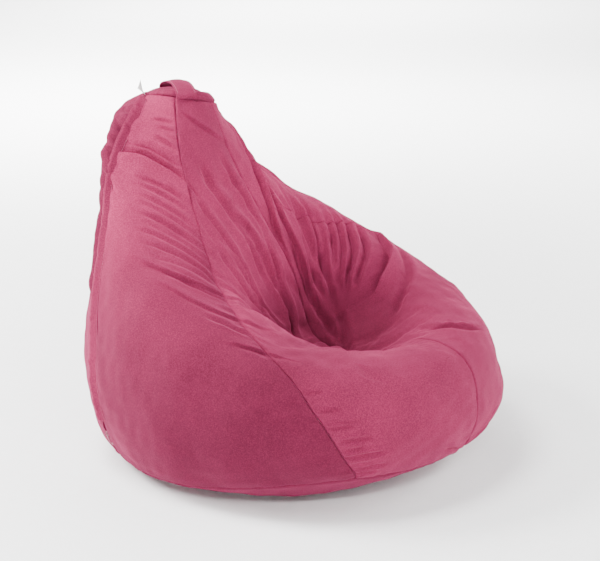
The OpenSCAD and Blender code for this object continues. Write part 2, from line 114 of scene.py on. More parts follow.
def skin(u, w):
    """Points on the skin at angles u, in degrees, and outline rows w."""
    u, w = np.broadcast_arrays(np.asarray(u, float), np.asarray(w, float))
    shape, u, w = u.shape, u.ravel(), w.ravel()
    i = np.clip(np.floor(w), 0, LAST - 1).astype(int)
    ring = catmull(RINGS[i], RINGS[i + 1], RINGS[i + 2], RINGS[i + 3], (w - i)[:, None, None])
    d = np.radians(u[:, None] - 45 * np.arange(8))
    share = (1 + 2 * np.cos(d) + 2 * np.cos(2 * d) + 2 * np.cos(3 * d) + np.cos(4 * d)) / 8
    p = np.einsum("nk,nkc->nc", share, ring)
    p[:, 2] = np.maximum(p[:, 2], 0)
    return p.reshape(*shape, 3)


def unit(v):
    return v / np.maximum(np.linalg.norm(v, axis=-1, keepdims=True), 1e-12)


def lengths_along(path):
    """Length along a path of points, from its start to each of them."""
    return np.concatenate([[0], np.cumsum(np.linalg.norm(np.diff(path, axis=0), axis=1))])


def read_path(at, along, values):
    """Values that go with the lengths along a path, read at other lengths."""
    return np.stack([np.interp(at, along, column) for column in values.T], 1)


def up_seam(u, w):
    return unit(skin(u, w + STEP_W) - skin(u, w - STEP_W))


def outward(u, w):
    w = np.clip(w, 2 * STEP_W, LAST - 2 * STEP_W)
    return unit(np.cross(up_seam(u, w), skin(u + STEP_U, w) - skin(u - STEP_U, w)))


def seam_angle(k, w):
    last = CROWN_SEAM - BASE_SEAM
    v = np.clip(np.asarray(w, float) - BASE_SEAM, 0, last)
    i = np.minimum(v.astype(int), last - 1)
    s = SEAMS[k]
    return catmull(s[np.maximum(i - 1, 0)], s[i], s[i + 1], s[np.minimum(i + 2, last)], v - i)


def degrees_per_m(u, w):
    return 2 * STEP_U / np.linalg.norm(skin(u + STEP_U, w) - skin(u - STEP_U, w), axis=-1)


def station_angle(s, w):
    """Angle at station s, where the whole numbers are the seams and the rest lies between them."""
    s, w = np.broadcast_arrays(np.asarray(s, float), np.asarray(w, float))
    k = np.clip(np.floor(s).astype(int), 0, GORES - 1)
    u = np.zeros(s.shape)
    for gore in range(GORES):
        here = k == gore
        a = seam_angle(gore, w[here])
        u[here] = a + (seam_angle(gore + 1, w[here]) - a) * (s[here] - gore)
    return u


def smooth(x):
    x = np.clip(x, 0, 1)
    return x * x * (3 - 2 * x)


def bump(x, middle, half):
    """1 at middle, 0 beyond half on each side."""
    return smooth(1 - np.abs(x - middle) / half)


def gap(u, angle):
    """Degrees from angle to u, from -180 to 180."""
    return (u - angle + 180) % 360 - 180


# ---- slack cloth: a short simulation between the sewn seams -----------------------------------

SIM_ACROSS = 38
SIM_ROWS = np.linspace(BASE_SEAM, CROWN_SEAM, 121)
SIM_FRAMES = 24
SIM_CAP = 0.022
CLOTH = dict(quality=6, mass=0.25, tension_stiffness=25, compression_stiffness=25, shear_stiffness=8,
             bending_stiffness=0.15, air_damping=4, use_pressure=True, uniform_pressure_force=3.0,
             vertex_group_mass="pin", vertex_group_shrink="slack", shrink_min=0.0, shrink_max=-0.07)


def slack(u, w):
    """How loose the cover lies, from 0 where the beads push it tight to 1 in the back and the seat."""
    upper = smooth((w - 7.6) / 2.2) * (1 - 0.5 * smooth((w - 13.2) / 0.8))
    seat = 0.35 * bump(gap(u, 0), 0, 60) * bump(w, 10.5, 2.5)
    back = 0.4 * smooth((np.abs(gap(u, 180)) - 40) / 30)
    return np.clip(0.05 + upper * (0.55 + back) + seat, 0, 1)


def closed_grid(rows_of_points, bottom, top):
    """Vertices and faces of rings joined from a bottom pole to a top pole."""
    m, n = len(rows_of_points), len(rows_of_points[0])
    verts = np.concatenate([np.concatenate(rows_of_points), [bottom, top]])
    i = np.arange(n)
    j = (i + 1) % n
    faces = [(r * n + b, r * n + a, (r + 1) * n + a, (r + 1) * n + b)
             for r in range(m - 1) for a, b in zip(i, j)]
    faces += [(m * n, a, b) for a, b in zip(i, j)]
    faces += [(m * n + 1, (m - 1) * n + b, (m - 1) * n + a) for a, b in zip(i, j)]
    return verts, faces


def make_mesh(name, verts, faces):
    mesh = bpy.data.meshes.new(name)
    mesh.from_pydata(np.asarray(verts).tolist(), [], [tuple(map(int, f)) for f in faces])
    mesh.update()
    return mesh


def add_object(name, mesh):
    obj = bpy.data.objects.new(name, mesh)
    bpy.context.scene.collection.objects.link(obj)
    return obj


def read_points(mesh):
    co = np.empty(len(mesh.vertices) * 3, np.float32)
    mesh.vertices.foreach_get("co", co)
    return co.reshape(-1, 3).astype(float)


def simulate_cover():
    """Moves of the cover at SIM_ROWS and the stations between the seams, as rows, columns, 3."""
    stations = np.arange(GORES * SIM_ACROSS) / SIM_ACROSS
    base_rows = np.linspace(0.4, BASE_SEAM, 12)[:-1]
    crown_rows = np.linspace(CROWN_SEAM, LAST, 6)[1:-1]
    rows = np.concatenate([base_rows, SIM_ROWS, crown_rows])
    w, s = np.meshgrid(rows, stations, indexing="ij")
    u = station_angle(s, w)
    start = skin(u, w)
    first = len(base_rows)
    body = slice(first, first + len(SIM_ROWS))
    verts, faces = closed_grid(list(start), skin(0, 0), skin(0, LAST))
    obj = add_object("cover_slack", make_mesh("cover_slack", verts, faces))
    loose = np.zeros(w.shape)
    loose[body] = slack(u[body], w[body])
    pinned = np.ones(w.shape, bool)
    free = slice(body.start + 1, body.stop - 1)
    pinned[free] = (s[free] % 1) == 0
    pin_group = obj.vertex_groups.new(name="pin")
    slack_group = obj.vertex_groups.new(name="slack")
    pin_list = np.flatnonzero(np.concatenate([pinned.ravel(), [True, True]]))
    pin_group.add([int(i) for i in pin_list], 1.0, "REPLACE")
    for i, value in enumerate(np.round(loose.ravel(), 2)):
        slack_group.add([i], float(value), "REPLACE")
    cloth = obj.modifiers.new("cloth", "CLOTH")
    for setting, value in CLOTH.items():
        setattr(cloth.settings, setting, value)
    cloth.settings.effector_weights.gravity = 0
    cloth.collision_settings.use_self_collision = False
    cloth.point_cache.frame_start = 1
    cloth.point_cache.frame_end = SIM_FRAMES
    for step in range(1, SIM_FRAMES + 1):
        bpy.context.scene.frame_set(step)
    depsgraph = bpy.context.evaluated_depsgraph_get()
    moved = read_points(obj.evaluated_get(depsgraph).data)[:-2].reshape(start.shape)
    bpy.context.scene.frame_set(1)
    mesh = obj.data
    bpy.data.objects.remove(obj)
    bpy.data.meshes.remove(mesh)
    move = moved - start
    length = np.linalg.norm(move, axis=-1, keepdims=True)
    move *= SIM_CAP * np.tanh(length / SIM_CAP) / np.maximum(length, 1e-9)
    return move[body]


def cubic_weights(x, count, wrap):
    """Matrix that reads a row of count samples at the places x by smooth cubic steps."""
    i = np.floor(x).astype(int)
    t = x - i
    shares = [-0.5 * t + t**2 - 0.5 * t**3, 1 - 2.5 * t**2 + 1.5 * t**3,
              0.5 * t + 2 * t**2 - 1.5 * t**3, -0.5 * t**2 + 0.5 * t**3]
    matrix = np.zeros((len(x), count))
    for step, share in zip((-1, 0, 1, 2), shares):
        j = (i + step) % count if wrap else np.clip(i + step, 0, count - 1)
        np.add.at(matrix, (np.arange(len(x)), j), share)
    return matrix


SIM_MOVE = simulate_cover()


def simulated(s, w):
    """The simulated move at stations s and rows w, both grids of one shape."""
    column = s * SIM_ACROSS
    row = (w - BASE_SEAM) / (CROWN_SEAM - BASE_SEAM) * (len(SIM_ROWS) - 1)
    count = SIM_MOVE.shape[1]
    out = np.zeros(s.shape + (3,))
    for j in range(s.shape[0]):
        rows = cubic_weights(row[j, :1], len(SIM_ROWS), False)[0]
        near = np.flatnonzero(rows)
        strip = np.einsum("r,rcx->cx", rows[near], SIM_MOVE[near])
        out[j] = cubic_weights(column[j], count, True) @ strip
    return out


# ---- folds and gathers that the sitter and the sewing left ------------------------------------

# Each fold is a path of (angle, row) points. A lap has a raised lip on the left of its path, seen
# from outside, and drops on the right; a crease sinks between two soft shoulders.
# kind, path, rise, drop, width of the lip side, width of the other side, sharpness at start, end
FOLD_PATHS = [
    # left side gore, from the front seam back
    ("lap", [(66, 12.5), (80, 12.42), (92, 12.3), (108, 12.1), (121, 11.75)], 13, 13, 22, 14, 1, 0.5),
    ("lap", [(69, 12.75), (80, 12.62), (92, 12.52), (104, 12.4), (122, 12.0)], 5, 7, 13, 11, 0.8, 0.3),
    ("lap", [(106, 9.95), (96, 10.05), (85, 10.19), (74, 10.35), (58, 10.62)], 7, 6, 16, 14, 0.1, 1),
    ("lap", [(94, 9.7), (86, 9.76), (76, 9.78), (65, 9.78), (52, 9.95)], 5, 4, 16, 12, 0.1, 0.9),
    ("crease", [(58, 9.3), (66, 9.42), (76, 9.46)], 2, 4, 11, 7, 1, 0.1),
    ("lap", [(70, 8.8), (65, 8.87), (59, 8.82), (52, 8.72)], 4, 6, 15, 12, 0.3, 0.3),
    # front gore between the two front seams, down the back rest
    ("lap", [(62, 13.78), (42, 13.7), (20, 13.63), (352, 13.5)], 4, 6, 9, 8, 0.3, 0.7),
    ("crease", [(44, 13.3), (30, 13.05), (16, 12.7), (8, 12.36), (7, 11.85)], 5, 9, 20, 11, 0.2, 0.3),
    ("crease", [(10, 13.4), (358, 13.2), (348, 12.86), (346, 12.36)], 4, 6, 14, 8, 0.3, 0.2),
    ("crease", [(60, 12.5), (46, 12.4), (34, 12.1), (28, 11.6), (36, 10.9)], 4, 7, 12, 7, 0.5, 0.4),
    ("crease", [(56, 11.9), (46, 11.6), (34, 11.2), (28, 10.8)], 3, 6, 12, 7, 0.4, 0.3),
    ("crease", [(14, 12.8), (6, 12.59), (0, 12.23), (0, 11.7), (8, 11.1)], 5, 8, 15, 9, 0.2, 0.3),
    ("crease", [(348, 12.4), (352, 12.0), (1, 11.5), (12, 10.9)], 5, 8, 13, 8, 0.4, 0.2),
    ("crease", [(40, 11.9), (26, 11.5), (16, 11.1)], 3, 6, 12, 8, 0.2, 0.2),
    # right gore, fanned down from the back rest into the seat
    ("lap", [(286, 12.95), (300, 12.7), (312, 12.5), (324, 12.25), (330, 11.95)], 10, 12, 17, 13, 0.8, 0.4),
    ("lap", [(278, 12.1), (292, 12.1), (306, 12.02), (320, 11.75), (336, 11.3)], 9, 11, 15, 12, 0.4, 0.5),
    ("crease", [(322, 11.9), (330, 11.6), (338, 11.3), (346, 10.85), (356, 10.4)], 5, 8, 18, 10, 0.4, 0.3),
    ("lap", [(284, 9.3), (294, 9.47), (303, 9.58), (316, 9.87), (330, 10.2)], 15, 13, 14, 16, 0.8, 0.2),
    ("crease", [(292, 9.1), (308, 9.35), (326, 9.6), (344, 9.8)], 4, 8, 18, 12, 0.4, 0.2),
    ("crease", [(334, 10.9), (344, 10.6), (0, 10.3), (12, 10.1)], 4, 9, 18, 12, 0.2, 0.2),
    ("lap", [(352, 9.1), (348, 8.75), (343, 8.2), (338, 7.6)], 5, 6, 13, 14, 0.4, 0.2),
    # the cloth rolls over behind the zip
    ("crease", [(129, 7.6), (131, 9.4), (134, 11.2), (137, 12.3)], 0, -13, 15, 17, 0.1, 0.1),
    # where the front seam meets the base panel
    ("crease", [(358, 4.12), (353, 4.4), (346, 4.8)], 3, 6, 10, 5, 1, 0.1),
    ("crease", [(357, 4.3), (351, 4.7), (345, 5.2)], 2, 5, 9, 5, 1, 0.1),
    ("crease", [(2, 4.15), (7, 4.4), (13, 4.6)], 2, 5, 9, 5, 1, 0.1),
    # the far arm, creased along its top
    ("crease", [(350, 9.15), (349, 8.75), (344, 8.1), (334, 7.4)], 2, 5, 14, 7, 0.6, 0.1),
]
# Fans of creases: first path, last path, how many, drop in mm, width of the shoulders in mm, seed
FANS = [
    ([(67, 12.3), (86, 12.1), (106, 11.75), (118, 11.4)],
     [(61, 10.9), (76, 10.8), (94, 10.5), (112, 10.0)], 8, 4.8, 10, 1),
    ([(60, 10.85), (74, 10.7), (90, 10.4), (104, 10.1)],
     [(57, 10.35), (72, 10.2), (84, 10.1), (92, 10.0)], 3, 3.5, 9, 2),
    ([(67, 13.5), (78, 13.42), (92, 13.3), (104, 13.2)],
     [(69, 12.85), (80, 12.8), (94, 12.75), (110, 12.6)], 5, 4.5, 9, 3),
    ([(267, 11.3), (296, 11.65), (318, 11.65), (340, 11.0)],
     [(282, 9.8), (303, 10.1), (318, 10.4), (332, 10.6)], 8, 12, 13, 4),
    ([(57, 13.4), (44, 13.3), (30, 13.1)],
     [(60, 11.6), (48, 11.3), (36, 11.0)], 5, 1.8, 9, 5),
    ([(355, 13.2), (12, 13.0), (26, 12.7)],
     [(350, 11.9), (6, 11.6), (20, 11.3)], 4, 1.8, 9, 6),
    ([(275, 13.4), (290, 13.3), (310, 13.0)],
     [(268, 12.2), (284, 12.3), (304, 12.2)], 4, 5, 12, 7),
    ([(238, 13.3), (225, 13.1), (205, 12.9)],
     [(236, 9.8), (222, 9.9), (206, 10.0)], 9, 4, 13, 8),
    ([(122, 13.3), (136, 13.1), (156, 12.9)],
     [(124, 9.6), (138, 9.8), (154, 9.9)], 9, 4, 13, 9),
    ([(240, 12.9), (256, 12.6), (270, 12.2)],
     [(236, 9.8), (252, 9.7), (268, 9.6)], 7, 4.5, 13, 10),
]
# Short creases across the front left seam, in the front gore: row, length in degrees, drop in mm
TICKS = [(4.35, 8, 3.5), (4.62, 11, 4), (4.8, 7, 3), (5.15, 13, 4.5), (5.4, 8, 3), (5.75, 12, 3.5),
         (6.3, 9, 4), (6.5, 12, 3.5), (6.95, 8, 3), (7.5, 6, 2.5)]


class Fold:
    def __init__(self, kind, path, rise, drop, width, other, start, end):
        self.kind, self.rise, self.drop = kind, rise * MM, drop * MM
        self.width, self.other, self.start, self.end = width * MM, other * MM, start, end
        p = np.array(path, float)
        p[:, 0] = p[0, 0] + np.cumsum(np.concatenate([[0], gap(p[1:, 0], p[:-1, 0])]))
        p = np.concatenate([[2 * p[0] - p[1]], p, [2 * p[-1] - p[-2]]])
        t = np.linspace(0, len(path) - 1.0001, 12 * len(path))
        i = t.astype(int)
        uw = catmull(p[i], p[i + 1], p[i + 2], p[i + 3], (t - i)[:, None])
        self.points = skin(uw[:, 0], uw[:, 1])
        self.along = lengths_along(self.points)
        self.tangents = unit(np.gradient(self.points, axis=0))
        self.lefts = unit(np.cross(outward(uw[:, 0], uw[:, 1]), self.tangents))

    def move(self, points, normals, out):
        """Adds what the fold does to out, at points with those normals."""
        reach = 3 * max(self.width, self.other)
        low, high = self.points.min(0) - reach, self.points.max(0) + reach
        near = np.flatnonzero(((points > low) & (points < high)).all(1))
        if not len(near):
            return
        p = points[near]
        best = np.argmin(((p[:, None] - self.points[None]) ** 2).sum(2), axis=1)
        v = p - self.points[best]
        side = (v * self.lefts[best]).sum(1)
        deep = np.abs((v * normals[near]).sum(1))
        along = self.along[best] + (v * self.tangents[best]).sum(1)
        length = self.along[-1]
        lead = min(0.35 * length, 0.06)
        fade = (smooth(along / lead * 0.5 + 0.5) * (self.start + (1 - self.start) * smooth(along / lead))
                * smooth((length - along) / lead * 0.5 + 0.5)
                * (self.end + (1 - self.end) * smooth((length - along) / lead)))
        fade *= 1 - smooth((deep - 0.03) / 0.05)
        if self.kind == "lap":
            lip = self.rise * np.exp(-(np.maximum(side, 0) / self.width) ** 1.5)
            hollow = -self.drop * np.exp(-(np.maximum(-side, 0) / self.other) ** 1.5)
            over = smooth(side / 0.005 + 0.5)
            height = hollow + (lip - hollow) * over
            slip = -0.35 * self.rise * np.exp(-(side / self.width) ** 2) * over
        else:
            x = side / self.width
            height = self.rise * x * x * np.exp(1 - x * x)
            height -= self.drop * np.exp(-(side / self.other) ** 2)
            slip = 0 * side
        out[near] += (fade * height)[:, None] * normals[near] + (fade * slip)[:, None] * self.lefts[best]


def fan(first, last, count, drop, width, seed):
    """Creases spread from the first path to the last, each a little different."""
    rng = np.random.default_rng(seed)
    a, b = np.array(first, float), np.array(last, float)
    a[:, 0] = a[0, 0] + gap(a[:, 0], a[0, 0])
    b[:, 0] = a[0, 0] + gap(b[:, 0], a[0, 0])
    for i in range(count):
        place = (i + 0.5 + rng.uniform(-0.3, 0.3)) / count
        start, end = rng.uniform(0, 0.12), rng.uniform(0.72, 1)
        path = a + (b - a) * place
        steps = np.linspace(start, end, len(path)) * (len(path) - 1)
        path = read_path(steps, np.arange(len(path)), path)
        size = rng.uniform(0.6, 1.15)
        yield Fold("crease", path, 0.5 * drop * size, drop * size, width * rng.uniform(0.8, 1.2),
                   0.62 * width, 0.7, 0.15)


def tick(row, length, drop):
    """A short crease that starts at the front left seam and runs into the front gore."""
    u = float(seam_angle(1, row))
    path = [(u - 0.3, row), (u - 0.5 * length, row + 0.04), (u - length, row + 0.05)]
    return Fold("crease", path, 0.6 * drop, drop, 8, 4.5, 1, 0.05)


FOLDS = [Fold(*row) for row in FOLD_PATHS]
FOLDS += [crease for row in FANS for crease in fan(*row)]
FOLDS += [tick(*row) for row in TICKS]


def wander(x, seed):
    """Smooth irregular wave of x, from about -1 to 1, one swing for each 1 of x."""
    values = np.random.default_rng(seed).uniform(-1, 1, 512)
    i = np.floor(x).astype(int)
    t = smooth(x - i)
    return values[i % 512] * (1 - t) + values[(i + 1) % 512] * t


def waves(points, size, seed, count=14):
    """Smooth irregular height over space, from about -1 to 1, with swells about size across."""
    rng = np.random.default_rng(seed)
    total = np.zeros(points.shape[:-1])
    for _ in range(count):
        way = unit(rng.normal(size=3)) * rng.uniform(0.6, 1.5) * 2 * math.pi / size
        total += np.sin(points @ way + rng.uniform(0, 2 * math.pi))
    return total / math.sqrt(count)


# Gathers beside each seam: how strong they are at the rows 4, 6, 8, 10, 12 and 14
GATHERS = [
    [0.5, 0.4, 0.5, 0.6, 0.7, 0.5],
    [0.9, 1.0, 0.5, 1.0, 1.0, 0.8],
    [0.9, 0.8, 0.8, 1.0, 1.2, 1.0],
    [0.4, 0.4, 0.5, 0.6, 0.7, 0.6],
    [0.4, 0.4, 0.5, 0.7, 0.8, 0.6],
    [0.4, 0.4, 0.5, 0.7, 0.8, 0.6],
]
BEHIND_ZIP = 2.6
GATHER_RISE = 2.6 * MM
GATHER_LENGTH = 15 * MM
GATHER_REACH = 45 * MM


def gathered(k, w, along, away, side):
    """Height of the gathers beside seam k: along the seam and away from it in metres."""
    strength = np.interp(w, [4, 6, 8, 10, 12, 14], GATHERS[k % GORES])
    if k == ZIP_SEAM and side == 1:
        strength = BEHIND_ZIP * strength
    seed = 10 * (k % GORES) + side
    reach = GATHER_REACH * (0.7 + 0.45 * wander(along / 0.03, seed + 5))
    fade = np.exp(-(away / reach) ** 2) * smooth(away / 0.004)
    ripple = wander((along + 0.15 * away) / GATHER_LENGTH, seed)
    ripple += 0.4 * wander(along / 0.007, seed + 7) * np.exp(-away / 0.012)
    patch = 0.35 + 0.65 * smooth(0.5 + 0.9 * wander(along / 0.11, seed + 3))
    return GATHER_RISE * strength * patch * fade * ripple


# Folds stop at these seams; they run on over the others
PINNED_SEAMS = (1, 2)
GROOVE_DEPTH = 4.5 * MM
GROOVE_HALF = 4.5 * MM
ROW_SAMPLES = np.linspace(BASE_SEAM, CROWN_SEAM, 201)


SEAM_ALONG = [lengths_along(skin(seam_angle(k, ROW_SAMPLES), ROW_SAMPLES)) for k in range(GORES + 1)]


def gore_width(k, w):
    a, b = seam_angle(k, w), seam_angle(k + 1, w)
    path = skin(a[:, None] + (b - a)[:, None] * np.linspace(0, 1, 25), w[:, None])
    return np.linalg.norm(np.diff(path, axis=1), axis=2).sum(1)


WIDTHS = [gore_width(k, ROW_SAMPLES) for k in range(GORES)]


def cover_point(s, w, grooves=True):
    """Place and outward way of the finished cover at stations s and rows w, both 2-D grids."""
    u = station_angle(s, w)
    base = skin(u, w)
    normal = outward(u, w)
    flat_points, flat_normals = base.reshape(-1, 3), normal.reshape(-1, 3)
    move = np.zeros_like(flat_points)
    for fold in FOLDS:
        fold.move(flat_points, flat_normals, move)
    move = move.reshape(base.shape) + simulated(s, w)
    k = np.clip(np.floor(s[0, s.shape[1] // 2]).astype(int), 0, GORES - 1)
    width = np.interp(w, ROW_SAMPLES, WIDTHS[k])
    before, after = (s - k) * width, (k + 1 - s) * width
    from_base = np.linalg.norm(base - skin(u, BASE_SEAM), axis=-1)
    from_crown = np.linalg.norm(base - skin(u, CROWN_SEAM), axis=-1)
    height = 2.2 * MM * waves(base, 0.16, 3) + 0.7 * MM * waves(base, 0.05, 4)
    edge = smooth(np.minimum(np.minimum(before, after), np.minimum(from_base, from_crown)) / 0.03)
    height *= edge
    gathers = gathered(k, w, np.interp(w, ROW_SAMPLES, SEAM_ALONG[k]), before, 1)
    gathers += gathered(k + 1, w, np.interp(w, ROW_SAMPLES, SEAM_ALONG[k + 1]), after, 2)
    height += gathers * smooth(from_crown / 0.03)
    around = np.radians(u) * 0.4
    height += 1.2 * MM * wander(around / 0.014, 91) * np.exp(-(from_base / 0.02) ** 2)
    height += 1.5 * MM * wander(around / 0.05, 92) * np.exp(-(from_crown / 0.03) ** 2)
    if grooves:
        for away in (before, after, from_base, from_crown):
            height -= GROOVE_DEPTH * (1 - np.minimum(away / GROOVE_HALF, 1)) ** 2
    hold = np.ones(s.shape)
    if k in PINNED_SEAMS:
        hold *= smooth(before / 0.01)
    if k + 1 in PINNED_SEAMS:
        hold *= smooth(after / 0.01)
    return base + move * hold[..., None] + height[..., None] * normal, normal


# ---- closed cloth panels ----------------------------------------------------------------------

CLOTH_T = 1.4 * MM
EDGE_STEPS = np.array([0.0, 0.6, 1.4, 2.6, 4.2, 6.5, 10]) * MM
HEM = np.array([9.0, 4.5]) * MM
# The inner bag lies under the cover and ends short of the seams; the beads lie under it
LINER_DEPTH = 9.5 * MM
LINER_T = 0.8 * MM
LINER_SHORT = 0.02
FILL_DEPTH = 16.5 * MM
BEAD_SIDES = 36
# Each panel ends a little short of its seam, and further along the zip
SEWN = 0.3 * MM
ZIP_SLOT = 5.6 * MM
ZIP_SLOT_LOW = 4.28
ZIP_SLOT_HIGH = 13.7
# Columns and rows of a panel: the rows are closer in the creased upper part
MIDDLE = 118
LOW_ROWS = 75
HIGH_ROWS = 235
FIRST_CREASED_ROW = 8.2
# The edge steps take up the rows up to here; a metre in rows at each seam, and the gap at both
EDGE_LOW = 0.17
EDGE_HIGH = 0.12
ROWS_PER_M_LOW = 12
ROWS_PER_M_HIGH = 9
SEWN_ROWS = 0.003


def smooth_object(name, verts, faces):
    """An object without doubled points or empty faces, shaded smooth."""
    mesh = make_mesh(name, verts, faces)
    work = bmesh.new()
    work.from_mesh(mesh)
    bmesh.ops.remove_doubles(work, verts=work.verts, dist=1e-6)
    bmesh.ops.dissolve_degenerate(work, edges=work.edges, dist=1e-7)
    work.to_mesh(mesh)
    work.free()
    mesh.polygons.foreach_set("use_smooth", np.ones(len(mesh.polygons), bool))
    mesh.update()
    return add_object(name, mesh)


def thick_sheet(name, outer, inner):
    """Closed sheet from two grids of points of the same shape."""
    m, n = outer.shape[:2]
    verts = np.concatenate([outer.reshape(-1, 3), inner.reshape(-1, 3)])
    a = (np.arange(m - 1)[:, None] * n + np.arange(n - 1)[None]).ravel()
    top = np.stack([a, a + n, a + n + 1, a + 1], 1)
    low = top[:, ::-1] + m * n
    row, column = np.arange(n - 1), np.arange(m - 1) * n
    last, right = row + (m - 1) * n, column + n - 1
    ends = [np.stack([row, row + 1, row + 1 + m * n, row + m * n], 1),
            np.stack([last + 1, last, last + m * n, last + 1 + m * n], 1),
            np.stack([column + n, column, column + m * n, column + n + m * n], 1),
            np.stack([right, right + n, right + n + m * n, right + m * n], 1)]
    return smooth_object(name, verts, np.concatenate([top, low, *ends]))


def clear_of(seam, w):
    """How far a panel ends from a seam: it opens into a slot along the zip."""
    slot = smooth((w - ZIP_SLOT_LOW) / 0.1) * smooth((ZIP_SLOT_HIGH - w) / 0.1)
    return (SEWN + (ZIP_SLOT - SEWN) * slot * (seam == ZIP_SEAM))[:, None]


def gore_panel(name, k):
    w = np.concatenate([BASE_SEAM + EDGE_STEPS * ROWS_PER_M_LOW + SEWN_ROWS,
                        np.linspace(BASE_SEAM + EDGE_LOW, FIRST_CREASED_ROW, LOW_ROWS, endpoint=False),
                        np.linspace(FIRST_CREASED_ROW, CROWN_SEAM - EDGE_HIGH, HIGH_ROWS),
                        CROWN_SEAM - SEWN_ROWS - EDGE_STEPS[::-1] * ROWS_PER_M_HIGH])
    width = gore_width(k, w)[:, None]
    before = (EDGE_STEPS[None] + clear_of(k, w)) / width
    after = 1 - (EDGE_STEPS[None, ::-1] + clear_of(k + 1, w)) / width
    t = np.linspace(0, 1, MIDDLE + 1)[None, 1:-1]
    f = np.concatenate([before, before[:, -1:] + (after[:, :1] - before[:, -1:]) * t, after], 1)
    s = k + np.clip(f, 1e-6, 1 - 1e-6)
    rows = np.repeat(w[:, None], s.shape[1], 1)
    outer, normal = cover_point(s, rows)
    across = unit(np.gradient(outer, axis=1))
    up = unit(np.gradient(outer, axis=0))
    facing = unit(np.cross(across, up))
    facing *= np.sign((facing * normal).sum(-1, keepdims=True))
    # hems: the cloth turns in at every edge and runs a little way into the bag
    pad = len(HEM)
    shape = (outer.shape[0] + 2 * pad, outer.shape[1] + 2 * pad)
    rr = np.clip(np.arange(shape[0]) - pad, 0, outer.shape[0] - 1)
    cc = np.clip(np.arange(shape[1]) - pad, 0, outer.shape[1] - 1)
    at = np.ix_(rr, cc)
    deep_row, deep_column = (np.concatenate([HEM, np.zeros(n), HEM[::-1]]) for n in outer.shape[:2])
    grow = np.maximum(deep_row[:, None], deep_column[None])
    big = outer[at] - grow[..., None] * normal[at]
    side_way = np.zeros(shape)
    side_way[:, :pad + 1], side_way[:, -pad - 1:] = 1, -1
    row_way = np.zeros(shape)
    row_way[:pad + 1], row_way[-pad - 1:] = 1, -1
    keep = np.where(grow > 0, 0.0, 1.0)[..., None]
    inward = unit(-facing[at] * keep + side_way[..., None] * across[at] + row_way[..., None] * up[at])
    return thick_sheet(name, big, big + CLOTH_T * inward)


def lowest_near(height, reach):
    """Each value lowered to the least one within reach cells of it."""
    for _ in range(reach):
        padded = np.pad(height, 1, mode="edge")
        m, n = height.shape
        height = np.min([padded[i:i + m, j:j + n] for i in range(3) for j in range(3)], axis=0)
    return height


def under_cover(s, w, depth, reach):
    """Points depth below the cover that lie clear of the bottoms of its folds."""
    u = station_angle(s, w)
    cover, normal = cover_point(s, w, grooves=False)
    height = lowest_near(((cover - skin(u, w)) * normal).sum(-1), reach)
    return skin(u, w) + (height - depth)[..., None] * normal, normal


def inner_gore(name, k, depth, t, across, along):
    """A panel of the inner bag, which lies loose under the cover."""
    s, w = np.meshgrid(k + np.linspace(0.002, 0.998, across),
                       np.linspace(BASE_SEAM + LINER_SHORT, CROWN_SEAM - LINER_SHORT, along))
    outer, normal = under_cover(s, w, depth, 2)
    outer = outer - (0.8 * MM * waves(outer, 0.03, 21 + k))[..., None] * normal
    return thick_sheet(name, outer, outer - t * normal)


def bead_body(name, depth):
    """The settled beads: one closed body under the inner bag."""
    rows = np.concatenate([np.linspace(0.5, BASE_SEAM, 14)[:-1],
                           np.linspace(BASE_SEAM, CROWN_SEAM, 120),
                           np.linspace(CROWN_SEAM, LAST, 8)[1:-1]])
    each = BEAD_SIDES
    rings = np.zeros((len(rows), GORES * each, 3))
    for k in range(GORES):
        s, w = np.meshgrid(k + (np.arange(each) + 0.001) / each, rows)
        point = under_cover(s, np.clip(w, BASE_SEAM, CROWN_SEAM), depth, 3)[0]
        u = station_angle(s, w)
        plain = skin(u, w) - depth * outward(u, w)
        inside = (w > BASE_SEAM) & (w < CROWN_SEAM)
        rings[:, k * each:(k + 1) * each] = np.where(inside[..., None], point, plain)
    bottom, top = skin(0, 0) + (0, 0, depth), skin(0, LAST) - (0, 0, depth)
    verts, faces = closed_grid(list(rings), bottom, top)
    return smooth_object(name, verts, faces)


